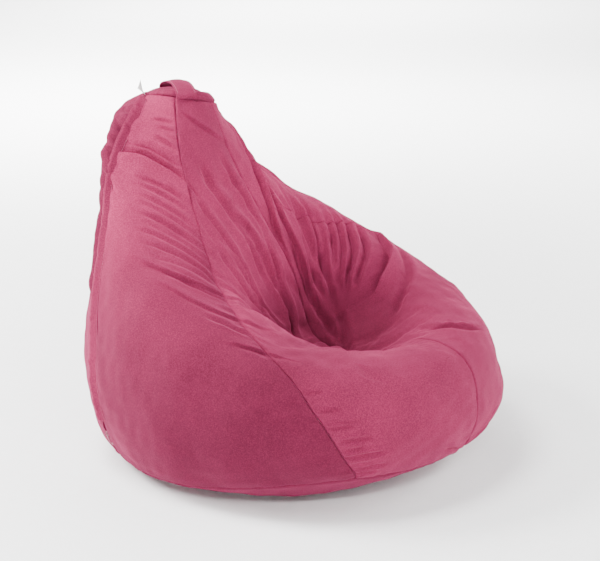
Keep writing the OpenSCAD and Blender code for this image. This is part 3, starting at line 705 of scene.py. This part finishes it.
def round_cloth(name, rim, middle, rings, sides, flip, depth=0.0):
    """The crown or the base: a closed round sheet with a hem, that lies depth below the skin."""
    stations = np.arange(sides) * GORES / sides
    f = np.concatenate([[0, 0.015, 0.035, 0.06, 0.1], np.linspace(0.14, 0.98, rings)])
    w, s = np.meshgrid(rim + (middle - rim) * f, stations, indexing="ij")
    u = station_angle(s, w)
    base, normal = skin(u, w), outward(u, w)
    if flip:
        normal[base[..., 2] < 1e-6] = (0, 0, -1)
    away = np.linalg.norm(base - base[0], axis=-1)
    base = base - depth * normal
    height = 1.5 * MM * waves(base, 0.08, 7) * smooth(away / 0.03)
    height += 1.2 * MM * wander(np.radians(u) * 0.4 / 0.014, 93) * np.exp(-(away / 0.02) ** 2)
    height -= GROOVE_DEPTH * (1 - np.minimum(away / GROOVE_HALF, 1)) ** 2
    outer = base + height[..., None] * normal
    if flip:
        outer[..., 2] = np.maximum(outer[..., 2], depth)
        rest = smooth((base[..., 2] - depth) / 0.02)[..., None]
        outer = base + (outer - base) * rest
    hems = [outer[0] - hem * normal[0] for hem in HEM]
    outer = np.concatenate([hems, outer])
    inner = np.concatenate([[hem - CLOTH_T * unit(hem - hem.mean(0)) for hem in hems],
                            outer[len(hems):] - CLOTH_T * normal])
    m, n = outer.shape[:2]
    verts = np.concatenate([outer.reshape(-1, 3), inner.reshape(-1, 3),
                            [outer[-1].mean(0), inner[-1].mean(0)]])
    i = np.arange(n)
    j = (i + 1) % n
    faces = []
    for layer, turn in ((0, -1), (m * n, 1)):
        for r in range(m - 1):
            a = layer + r * n
            faces += [q[::turn] for q in zip(a + i, a + j, a + n + j, a + n + i)]
        tip = 2 * m * n + (0 if layer == 0 else 1)
        faces += [q[::turn] for q in zip(layer + (m - 1) * n + i, layer + (m - 1) * n + j, [tip] * n)]
    faces += list(zip(i, j, m * n + j, m * n + i))
    if flip:
        faces = [q[::-1] for q in faces]
    return smooth_object(name, verts, faces)


# ---- materials --------------------------------------------------------------------------------


class Nodes:
    """A few shader nodes with short names."""

    def __init__(self, name):
        self.material = bpy.data.materials.new(name)
        self.material.use_nodes = True
        self.tree = self.material.node_tree
        self.shader = self.tree.nodes["Principled BSDF"]
        self.place = self.add("ShaderNodeTexCoord").outputs["Object"]

    def add(self, kind, **inputs):
        node = self.tree.nodes.new(kind)
        for key, value in inputs.items():
            self.set(node, key.replace("_", " "), value)
        return node

    def set(self, node, socket, value):
        if isinstance(value, bpy.types.NodeSocket):
            self.tree.links.new(value, node.inputs[socket])
        else:
            node.inputs[socket].default_value = value

    def noise(self, scale, detail=2.0, roughness=0.5, place=None):
        node = self.add("ShaderNodeTexNoise", Scale=scale, Detail=detail, Roughness=roughness,
                        Vector=place or self.place)
        return node.outputs["Fac"]

    def ramp(self, value, stops):
        node = self.add("ShaderNodeValToRGB", Fac=value)
        ramp = node.color_ramp
        while len(ramp.elements) < len(stops):
            ramp.elements.new(0.5)
        for element, (at, colour) in zip(ramp.elements, stops):
            element.position = at
            element.color = (*colour, 1)
        return node.outputs["Color"]

    def bump(self, height, distance, strength=1.0, normal=None):
        node = self.add("ShaderNodeBump", Height=height, Distance=distance, Strength=strength)
        if normal is not None:
            self.set(node, "Normal", normal)
        return node.outputs["Normal"]

    def mix(self, a, b, share, blend="MIX"):
        node = self.add("ShaderNodeMix")
        node.data_type, node.blend_type = "RGBA", blend
        for socket, value in ((6, a), (7, b), (0, share)):
            self.set(node, socket, value)
        return node.outputs[2]

    def multiply(self, a, b):
        return self.mix(a, b, 1.0, "MULTIPLY")

    def map_range(self, value, starts=(0.0, 1.0), ends=(0.0, 1.0)):
        node = self.add("ShaderNodeMapRange", Value=value)
        for socket, number in zip(("From Min", "From Max", "To Min", "To Max"), (*starts, *ends)):
            node.inputs[socket].default_value = number
        return node.outputs["Result"]

    def finish(self, **inputs):
        for key, value in inputs.items():
            self.set(self.shader, key.replace("_", " "), value)
        return self.material


def shade(colour, factor):
    return tuple(min(1.0, c * factor) for c in colour)


ROSE = (0.153, 0.0137, 0.0432)
WHITE = (1.0, 1.0, 1.0)
# Painted shade in the seat hollow: the pile is darkened behind these places in Y, up to these heights
SEAT_SHADE_BEHIND = (-0.28, -0.18)
SEAT_SHADE_UP_TO = (0.27, 0.37)
SEAT_SHADE_TONE = (0.55, 0.5, 0.5)


def velour(name, colour=ROSE, nap_tone_and_painted_light=((0.0, 1.0), (0.8, 1.0)), painted_seat_shade=False):
    """Cut pile: mottled by hand marks, speckled by its tufts. Its tone at heights in metres is partly the
    gore's own nap and partly painted light and shade, lighter on the upper parts and darker low down.
    """
    m = Nodes(name)
    marks = m.noise(9.0, 4.0, 0.6)
    tone = m.ramp(marks, [(0.32, shade(colour, 0.84)), (0.5, colour), (0.68, shade(colour, 1.18))])
    tufts = m.noise(420.0, 3.0, 0.7)
    speck = m.ramp(tufts, [(0.36, shade(colour, 0.5)), (0.5, colour), (0.64, shade(colour, 1.8))])
    base = m.mix(tone, speck, 0.5)
    place = m.add("ShaderNodeSeparateXYZ", Vector=m.place).outputs
    # painted light and shade: the colour is scaled by height, partly the gore's nap tone, partly lighter up
    # top and darker low down
    base = m.multiply(base, m.ramp(place["Z"], [(at, (value,) * 3) for at, value in nap_tone_and_painted_light]))
    # painted shade: the seat hollow behind the front lip is darkened by its place in Y and its height
    if painted_seat_shade:
        seat_shade = m.ramp(m.map_range(place["Y"], SEAT_SHADE_BEHIND), [(0.0, WHITE), (1.0, SEAT_SHADE_TONE)])
        base = m.multiply(base, m.mix(seat_shade, (*WHITE, 1.0), m.map_range(place["Z"], SEAT_SHADE_UP_TO)))
    fine = m.bump(m.noise(900.0, 2.0, 0.6), 0.0006, 0.5)
    normal = m.bump(tufts, 0.0012, 0.5, fine)
    return m.finish(Base_Color=base, Roughness=0.9, Normal=normal, Specular_IOR_Level=0.06,
                    Sheen_Weight=0.3, Sheen_Roughness=0.4, Sheen_Tint=(1.0, 0.14, 0.36, 1))


def grained(name, grain, low, high, relief=(), **sockets):
    """Noise between two colours, in relief; grain is its scale, detail and roughness."""
    m = Nodes(name)
    noise = m.noise(*grain)
    if relief:
        sockets["Normal"] = m.bump(noise, *relief)
    return m.finish(Base_Color=m.ramp(noise, [(0.3, low), (0.7, high)]), **sockets)


def thread(name, colour):
    return grained(name, (2500.0, 1.0), shade(colour, 0.75), shade(colour, 1.2), (0.0001, 0.6),
                   Roughness=0.6, Sheen_Weight=0.2)


def woven(name, colour):
    m = Nodes(name)
    wave = m.add("ShaderNodeTexWave", Scale=420.0, Distortion=1.5, Vector=m.place)
    wave.wave_type = "BANDS"
    weave = wave.outputs["Fac"]
    base = m.ramp(weave, [(0.1, shade(colour, 0.7)), (0.9, shade(colour, 1.2))])
    return m.finish(Base_Color=base, Roughness=0.8, Normal=m.bump(weave, 0.0003, 0.6))


def lacquered_metal(name, colour):
    """A zip slider dyed to the cloth, with worn lacquer."""
    m = Nodes(name)
    wear = m.noise(180.0, 4.0, 0.6)
    base = m.ramp(wear, [(0.3, shade(colour, 0.85)), (0.7, shade(colour, 1.15))])
    return m.finish(Base_Color=base, Metallic=0.2, Roughness=m.map_range(wear, ends=(0.3, 0.5)),
                    Normal=m.bump(wear, 0.0001, 0.3))


def beads(name):
    m = Nodes(name)
    cells = m.add("ShaderNodeTexVoronoi", Scale=260.0, Vector=m.place).outputs["Distance"]
    base = m.ramp(cells, [(0.0, (0.95, 0.95, 0.93)), (0.6, (0.6, 0.6, 0.58))])
    return m.finish(Base_Color=base, Roughness=0.6, Normal=m.bump(cells, -0.002, 0.9))


VELOUR = velour("velour")
# The pile of each gore lies its own way, so the gores differ in tone; most also carry painted light and
# shade by height, lighter where the lamps fall on the upper parts and darker low down
SIDE_VELOUR = velour("velour_side", nap_tone_and_painted_light=(
    (0.0, 0.6), (0.3, 0.64), (0.43, 0.95), (0.56, 1.55), (0.8, 1.4)))
# The front and arm gores carry the painted shade of the seat hollow
FRONT_VELOUR = velour("velour_front", painted_seat_shade=True, nap_tone_and_painted_light=(
    (0.0, 0.95), (0.24, 0.95), (0.31, 0.92), (0.4, 1.35), (0.55, 1.4), (0.8, 1.0)))
ARM_VELOUR = velour("velour_arm", painted_seat_shade=True, nap_tone_and_painted_light=(
    (0.0, 1.0), (0.3, 0.92), (0.4, 1.25), (0.52, 1.6), (0.8, 1.3)))
BACK_VELOUR = velour("velour_back", nap_tone_and_painted_light=((0.0, 0.75), (0.4, 0.72), (0.8, 0.78)))
RIM_VELOUR = velour("velour_rim", nap_tone_and_painted_light=((0.0, 0.8), (0.8, 0.95)))
GORE_VELOURS = [FRONT_VELOUR, SIDE_VELOUR, BACK_VELOUR, BACK_VELOUR, ARM_VELOUR, ARM_VELOUR]
STRAP = velour("velour_strap", shade(ROSE, 0.95))
ZIP_METAL = lacquered_metal("zip_lacquer", (0.20, 0.025, 0.06))
LINER_METAL = lacquered_metal("liner_zip_lacquer", (0.55, 0.55, 0.52))
TAPE = woven("zip_tape_weave", (0.30, 0.05, 0.11))
COIL = thread("zip_coil_nylon", (0.38, 0.07, 0.14))
THREAD = thread("sewing_thread", (0.42, 0.07, 0.16))
SATIN = grained("label_satin", (900.0, 2.0), (0.78, 0.77, 0.74), (0.93, 0.92, 0.90), (0.0002, 0.4),
                Roughness=0.45, Sheen_Weight=0.2)
SPUNBOND = grained("spunbond", (500.0, 4.0, 0.7), (0.74, 0.74, 0.72), (0.9, 0.9, 0.88), (0.0004, 0.6),
                   Roughness=0.8)
LINER_TAPE = woven("liner_tape_weave", (0.75, 0.75, 0.72))
BEADS = beads("polystyrene_beads")


def finish_piece(obj, material, body="chair", replaces=()):
    obj.data.materials.clear()
    obj.data.materials.append(material)
    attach(obj, body)
    if replaces:
        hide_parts(*replaces)
    return obj


# ---- straps, plackets, ribbons and threads ----------------------------------------------------

def ring_mesh(name, rings):
    """Closed body from rings of points, closed at both ends by a point in the middle of the ring."""
    rings = [np.asarray(ring) for ring in rings]
    verts, faces = closed_grid(rings, rings[0].mean(0), rings[-1].mean(0))
    return smooth_object(name, verts, faces)


def flat_section(width, thickness, across):
    """Outline of a flat band: places across it and heights, with round edges."""
    half, r = width / 2, thickness / 2
    x = np.linspace(-half + r, half - r, across)
    turn = np.radians([60, 30, 0, -30, -60])
    xs = np.concatenate([x, half - r + r * np.cos(turn), x[::-1], -half + r - r * np.cos(turn)])
    zs = np.concatenate([np.full(across, r), r * np.sin(turn), np.full(across, -r), -r * np.sin(turn)])
    return xs, zs


STITCH_R = 0.35 * MM
STITCH_SIDES = 6


def stitches(name, path, out, pitch, length):
    """Short threads along a path of points that lie on a cloth whose outward way is out."""
    along = lengths_along(path)
    verts, faces = [], []
    sides = STITCH_SIDES
    turn = np.arange(sides) * 2 * math.pi / sides
    for start in np.arange(0.5 * pitch, along[-1] - pitch, pitch):
        at = start + length * np.linspace(0, 1, 5)
        p = read_path(at, along, path)
        n = unit(read_path(at, along, out))
        t = unit(np.gradient(p, axis=0))
        b = np.cross(t, n)
        lift = STITCH_R * np.array([-0.6, 0.5, 0.8, 0.5, -0.6])[:, None]
        radius = STITCH_R * np.array([0.6, 1, 1, 1, 0.6])[:, None]
        first = len(verts)
        for j in range(5):
            middle = p[j] + lift[j] * n[j]
            verts += [middle + radius[j] * (math.cos(a) * n[j] + math.sin(a) * b[j]) for a in turn]
        for j in range(4):
            for i in range(sides):
                a, c = first + j * sides + i, first + j * sides + (i + 1) % sides
                faces.append((a, c, c + sides, a + sides))
        faces.append(tuple(first + i for i in range(sides))[::-1])
        faces.append(tuple(first + 4 * sides + i for i in range(sides)))
    return smooth_object(name, verts, faces)


STRAP_NEAR_ANGLE = 42
STRAP_FAR_ANGLE = 214
STRAP_W = 47 * MM
STRAP_T = 2.8 * MM
STRAP_RISE = 9 * MM
STRAP_STITCH_INSET = 4.5 * MM
STRAP_SAG = 2.2 * MM
# How far its sewn ends stand out past the seam
STRAP_OUT = 4.5 * MM


def strap_sag(x, t):
    """Height of the strap's wave at places x across it and shares t of its length."""
    return STRAP_SAG * np.cos(x / STRAP_W * 5.2) * np.sin(math.pi * t) ** 2


def build_strap():
    """The doubled carry strap, sewn into the crown seam at its front left edge and behind."""
    near, far = skin(STRAP_NEAR_ANGLE, CROWN_SEAM), skin(STRAP_FAR_ANGLE, CROWN_SEAM)
    crown_top = skin(0, LAST)[2]
    t = np.linspace(0, 1, 121)
    run = far - near
    ahead = unit(run * (1, 1, 0))
    side = np.array([-ahead[1], ahead[0], 0])
    level = near[2] + run[2] * t
    hump = np.sin(math.pi * t) ** 0.5 * (1 + 0.12 * np.cos(math.pi * t))
    middle = near + run * t[:, None]
    middle[:, 2] = level + (crown_top + STRAP_RISE - level) * hump
    middle += ahead * (-STRAP_OUT * np.cos(math.pi * t) * (1 - np.sin(math.pi * t)))[:, None]
    tangent = unit(np.gradient(middle, axis=0))
    normal = unit(np.cross(tangent, side))
    normal *= np.sign(normal[len(t) // 2, 2])
    xs, zs = flat_section(STRAP_W, STRAP_T, 28)
    rings = []
    for j in range(len(t)):
        x = xs * (1 - 0.05 * math.sin(math.pi * t[j]) ** 2)
        ripple = 0.5 * MM * wander(x / 0.012, 61) * wander(np.array([t[j] * 11]), 62)[0]
        groove = -0.5 * MM * np.exp(-((np.abs(x) - STRAP_W / 2 + STRAP_STITCH_INSET) / (1.2 * MM)) ** 2)
        height = zs + np.sign(zs) * groove + strap_sag(x, t[j]) + ripple
        rings.append(middle[j] + x[:, None] * side + height[:, None] * normal[j])
    if np.cross(side, normal[60]) @ tangent[60] < 0:
        rings = [ring[::-1] for ring in rings]
    strap = ring_mesh("carry_handle_strap", rings)
    finish_piece(strap, STRAP, replaces=["carry_handle"])
    for edge, name in ((-1, "left"), (1, "right")):
        x = edge * (STRAP_W / 2 - STRAP_STITCH_INSET)
        line = middle + x * side + (STRAP_T / 2 - 0.4 * MM + strap_sag(x, t))[:, None] * normal
        row = stitches(f"carry_handle_stitches_{name}", line[4:-4], normal[4:-4], 3.2 * MM, 2.5 * MM)
        finish_piece(row, THREAD)


PLACKET_LOW = 5.25
PLACKET_HIGH = 13.75
PLACKET_FRONT = -16 * MM
PLACKET_BACK = 10 * MM
PLACKET_T = 1.6 * MM
PLACKET_STITCH = -13 * MM


def beside_seam(k, w, across):
    """Places on the skin at some distances across seam k, and the outward ways there."""
    u = seam_angle(k, w)
    u = u + across * degrees_per_m(u, w)
    return skin(u, w), outward(u, w)


def placket_lift(across, along):
    """Height of the placket over the skin: sewn down in front, rippled where it stands free."""
    free = smooth((across - PLACKET_STITCH) / (PLACKET_BACK - PLACKET_STITCH) * 1.3)
    ripple = wander(along / 0.013, 71) + 0.5 * wander(along / 0.006, 72)
    edge = np.exp(-((across - PLACKET_FRONT) / (2 * MM)) ** 2)
    groove = np.exp(-((across - PLACKET_STITCH) / (1.2 * MM)) ** 2)
    return (1.7 * MM + 7.5 * MM * free + 1.3 * MM * ripple * (0.35 + 0.65 * free)
            - 1.4 * MM * groove - 0.8 * MM * edge)


def build_placket():
    rows = np.linspace(PLACKET_LOW, PLACKET_HIGH, 420)
    across = np.linspace(PLACKET_FRONT, PLACKET_BACK, 27)
    x, w = np.meshgrid(across, rows)
    along = np.interp(w, ROW_SAMPLES, SEAM_ALONG[ZIP_SEAM])
    wobble = 1.2 * MM * wander(along / 0.09, 73) + 0.5 * MM * wander(along / 0.02, 74)
    point, out = beside_seam(ZIP_SEAM, w, x + wobble * smooth((x - PLACKET_STITCH) / 0.02))
    outer = point + placket_lift(x, along)[..., None] * out
    placket = thick_sheet("zip_placket_velour", outer, outer - PLACKET_T * out)
    finish_piece(placket, VELOUR, replaces=["zip_placket"])
    line = np.full(len(rows), PLACKET_STITCH)
    run = np.interp(rows, ROW_SAMPLES, SEAM_ALONG[ZIP_SEAM])
    point, out = beside_seam(ZIP_SEAM, rows, line)
    path = point + placket_lift(line, run)[:, None] * out
    finish_piece(stitches("zip_placket_stitches", path, out, 3.4 * MM, 2.7 * MM), THREAD)


GUARD_DEPTH = 7.7 * MM
GUARD_T = 0.6 * MM


def build_zip_guard():
    """The strip of cloth behind the zip."""
    x, w = np.meshgrid(np.linspace(-15, 15, 7) * MM, np.linspace(4.15, 13.85, 300))
    point, out = beside_seam(ZIP_SEAM, w, x)
    outer = point - (GUARD_DEPTH + 0.2 * MM * wander(w * 20, 75))[..., None] * out
    finish_piece(thick_sheet("zip_guard_velour", outer, outer - GUARD_T * out), SIDE_VELOUR)


LABEL_ANGLE = 132
LABEL_W = 33 * MM
LABEL_H = 23 * MM
LABEL_T = 0.22 * MM
LABEL_LEAN = math.radians(50)
LABEL_TWIST = 0.6
LABEL_STEPS = 30


def build_label():
    """A blank satin ribbon, folded double, that stands out of the crown seam."""
    u = math.radians(LABEL_ANGLE)
    along = np.array([-math.cos(u), math.sin(u), 0])
    away = np.array([-math.sin(u), -math.cos(u), 0])
    up = math.sin(LABEL_LEAN) * away + math.cos(LABEL_LEAN) * np.array([0, 0, 1])
    normal = np.cross(along, up)
    foot = skin(LABEL_ANGLE, CROWN_SEAM) + 1.5 * MM * outward(LABEL_ANGLE, CROWN_SEAM)
    turn = np.linspace(-math.pi / 2, math.pi / 2, 9)
    gap_half = 0.28 * MM
    climb = np.linspace(0.4 * MM, LABEL_H - gap_half, LABEL_STEPS)
    fold = np.stack([LABEL_H - gap_half + gap_half * np.cos(turn), gap_half * np.sin(turn)], 1)
    profile = np.concatenate([np.stack([climb, np.full(LABEL_STEPS, -gap_half)], 1), fold,
                              np.stack([climb[::-1], np.full(LABEL_STEPS, gap_half)], 1)])
    step = unit(np.gradient(profile, axis=0))
    outside = np.stack([step[:, 1], -step[:, 0]], 1)
    x = np.linspace(-LABEL_W / 2, LABEL_W / 2, LABEL_STEPS)

    def lay(points):
        rise, depth = points[:, 0][:, None], points[:, 1][:, None]
        share = rise / LABEL_H
        curl = share ** 2 * np.cos(4 * x / LABEL_W + 0.6)[None] * 1.6 * MM
        curl += LABEL_TWIST * share * (x + LABEL_W / 2)[None]
        return (foot + x[None, :, None] * along + rise[..., None] * up + (depth + curl)[..., None] * normal)

    outer, inner = lay(profile + 0.5 * LABEL_T * outside), lay(profile - 0.5 * LABEL_T * outside)
    label = thick_sheet("care_label_ribbon", outer, inner)
    finish_piece(label, SATIN, "care_label", replaces=["care_label"])


COIL_LOW = 4.45
COIL_HIGH = 13.5
COIL_PITCH = 1.7 * MM
COIL_THREAD_R = 0.42 * MM
COIL_DEPTH = 2.1 * MM
COIL_AWAY = 2.7 * MM
COIL_REACH = np.array([1.05, 0.75]) * MM
COIL_STEPS = 8
COIL_SIDES = 5


def build_coil(node, side):
    """The nylon thread of one half of the zip, wound along the tape's edge."""
    rows = np.linspace(COIL_LOW, COIL_HIGH, 500)
    point, out = beside_seam(ZIP_SEAM, rows, np.full(len(rows), side * COIL_AWAY))
    middle = point - COIL_DEPTH * out
    ahead = unit(np.gradient(middle, axis=0))
    across = np.cross(ahead, out)
    along = lengths_along(middle)
    turns = int(along[-1] / COIL_PITCH)
    a = np.arange(turns * COIL_STEPS) * 2 * math.pi / COIL_STEPS
    at = a / (2 * math.pi) * COIL_PITCH
    c, n, b = (read_path(at, along, values) for values in (middle, out, across))
    helix = c + COIL_REACH[0] * np.cos(a)[:, None] * b + COIL_REACH[1] * np.sin(a)[:, None] * n
    way = unit(np.gradient(helix, axis=0))
    first = unit(np.cross(way, n + 0.3 * b))
    second = np.cross(way, first)
    ring_turn = np.arange(COIL_SIDES) * 2 * math.pi / COIL_SIDES
    rings = [helix + COIL_THREAD_R * (math.cos(r) * first + math.sin(r) * second) for r in ring_turn]
    coil = ring_mesh(node + "_nylon", list(np.stack(rings, 1)[:, ::-1]))
    finish_piece(coil, COIL, replaces=[node])


# ---- the pieces -------------------------------------------------------------------------------

GORE_NAMES = ["gore_front_left", "gore_side_left", "gore_back_left",
              "gore_back_right", "gore_side_right", "gore_front_right"]


def build_cover():
    for k, node in enumerate(GORE_NAMES):
        panel = gore_panel(node + "_velour", k)
        finish_piece(panel, GORE_VELOURS[k], replaces=[node])
    crown = round_cloth("crown_panel_velour", CROWN_SEAM + SEWN_ROWS, LAST, 24, 168, False)
    finish_piece(crown, RIM_VELOUR, replaces=["crown_panel"])
    base = round_cloth("base_panel_velour", BASE_SEAM - SEWN_ROWS, 0, 36, 336, True)
    finish_piece(base, RIM_VELOUR, replaces=["base_panel"])
    build_strap()
    build_placket()
    build_zip_guard()
    build_label()
    build_coil("zip_coil_front", -1)
    build_coil("zip_coil_rear", 1)


def build_inner_bag():
    for k, node in enumerate(GORE_NAMES):
        liner = node.replace("gore", "liner")
        panel = inner_gore(liner + "_spunbond", k, LINER_DEPTH, LINER_T, 44, 150)
        finish_piece(panel, SPUNBOND, replaces=[liner])
    crown = round_cloth("liner_crown_spunbond", CROWN_SEAM + LINER_SHORT, LAST, 12, 96, False, LINER_DEPTH)
    finish_piece(crown, SPUNBOND, replaces=["liner_crown"])
    base = round_cloth("liner_base_spunbond", BASE_SEAM - LINER_SHORT, 0, 18, 168, True, LINER_DEPTH)
    finish_piece(base, SPUNBOND, replaces=["liner_base"])
    filling = bead_body("bead_filling_body", FILL_DEPTH)
    finish_piece(filling, BEADS, replaces=["bead_filling"])


build_cover()
build_inner_bag()

# CAD nodes that stay as they are get looks of their own
for material, nodes in [
    (TAPE, ["zip_tape_front", "zip_tape_rear"]),
    (ZIP_METAL, ["zip_top_stop", "zip_bottom_stop", "zip_slider", "zip_pull"]),
    (LINER_METAL, ["liner_zip_slider", "liner_zip_pull"]),
    (LINER_TAPE, ["liner_zip_tape_left", "liner_zip_tape_right", "liner_zip_coil"]),
]:
    for node in nodes:
        for material_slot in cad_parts[node].material_slots:
            material_slot.material = material


# ---- floor, light and camera ------------------------------------------------------------------

FLOOR_HALF = 22.0
FLOOR_Z = -0.001
WALL_R = 19.0
WALL_TOP = 10.0
WALL_SIDES = 96


def build_stage():
    corners = [(x * FLOOR_HALF, y * FLOOR_HALF, FLOOR_Z)
               for x, y in ((-1, -1), (1, -1), (1, 1), (-1, 1))]
    floor = add_object("floor", make_mesh("floor", corners, [(0, 1, 2, 3)]))
    floor.data.materials.append(grained("floor_paint", (40.0, 3.0), (0.86,) * 3, (0.88,) * 3, Roughness=0.7))
    turn = np.arange(WALL_SIDES) * 2 * math.pi / WALL_SIDES
    ring = [(WALL_R * math.cos(a), WALL_R * math.sin(a)) for a in turn]
    sides = [(i, i + WALL_SIDES, (i + 1) % WALL_SIDES + WALL_SIDES, (i + 1) % WALL_SIDES)
             for i in range(WALL_SIDES)]
    wall = smooth_object("backdrop", [(x, y, z) for z in (FLOOR_Z, WALL_TOP) for x, y in ring], sides)
    wall.data.materials.append(floor.data.materials[0])
    world = bpy.data.worlds.new("studio")
    bpy.context.scene.world = world
    world.use_nodes = True
    sky = world.node_tree.nodes["Background"].inputs
    sky["Color"].default_value, sky["Strength"].default_value = (0.97, 0.98, 1.0, 1), 0.03


BAG_MIDDLE = (0, 0, 0.4)
VIEW_AZIMUTH = -57
VIEW_RISE = 16
VIEW_DISTANCE = 3.2
AIM_RIGHT = 0.011
AIM_DOWN = 0.027
LIGHT_DISTANCE = 3.0
# Lights on the bag: name, azimuth, rise, size, power
LIGHTS = [("key", -150, 40, 1.0, 185), ("high", -120, 68, 1.2, 150),
          ("low_left", -147, 12, 1.8, 20), ("right", 20, 20, 1.6, 70)]
# Lights on the backdrop and floor: name, first azimuth, distance, height, distance of the aim, power
WASHES = [("far_wash", 33, 9.0, 4.0, 14.0, 1500), ("floor_wash", 45, 4.5, 3.5, 6.8, 1800)]
WASH_SIZE = 3.0


def seen_from(azimuth, rise, distance, target=BAG_MIDDLE):
    a, e = math.radians(azimuth), math.radians(rise)
    back = np.array((math.sin(a) * math.cos(e), -math.cos(a) * math.cos(e), math.sin(e)))
    return tuple(np.array(target) + distance * back)


def add_aimed(name, data, place, target):
    obj = bpy.data.objects.new(name, data)
    bpy.context.scene.collection.objects.link(obj)
    obj.location = place
    obj.rotation_euler = (Vector(target) - Vector(place)).to_track_quat("-Z", "Y").to_euler()
    return obj


def area_light(name, place, target, size, power):
    light = bpy.data.lights.new(name, "AREA")
    light.shape = "DISK"
    light.size = size
    light.energy = power
    add_aimed(name, light, place, target)


def build_camera():
    data = bpy.data.cameras.new("camera")
    data.sensor_width = 36
    data.lens = 87.6
    place = seen_from(VIEW_AZIMUTH, VIEW_RISE, VIEW_DISTANCE)
    back = (Vector(place) - Vector(BAG_MIDDLE)).normalized()
    right = Vector((-back.y, back.x, 0)).normalized()
    aim = Vector(BAG_MIDDLE) + right * AIM_RIGHT - back.cross(right) * AIM_DOWN
    bpy.context.scene.camera = add_aimed("camera", data, place, aim)


build_stage()
for name, azimuth, rise, size, power in LIGHTS:
    area_light(name, seen_from(azimuth, rise, LIGHT_DISTANCE), BAG_MIDDLE, size, power)
for name, first, distance, height, aim_distance, power in WASHES:
    for azimuth in range(first, first + 360, 90):
        area_light(f"{name}_{azimuth}", seen_from(azimuth, 0, distance, (0, 0, height)),
                   seen_from(azimuth, 0, aim_distance, (0, 0, 0)), WASH_SIZE, power)
build_camera()
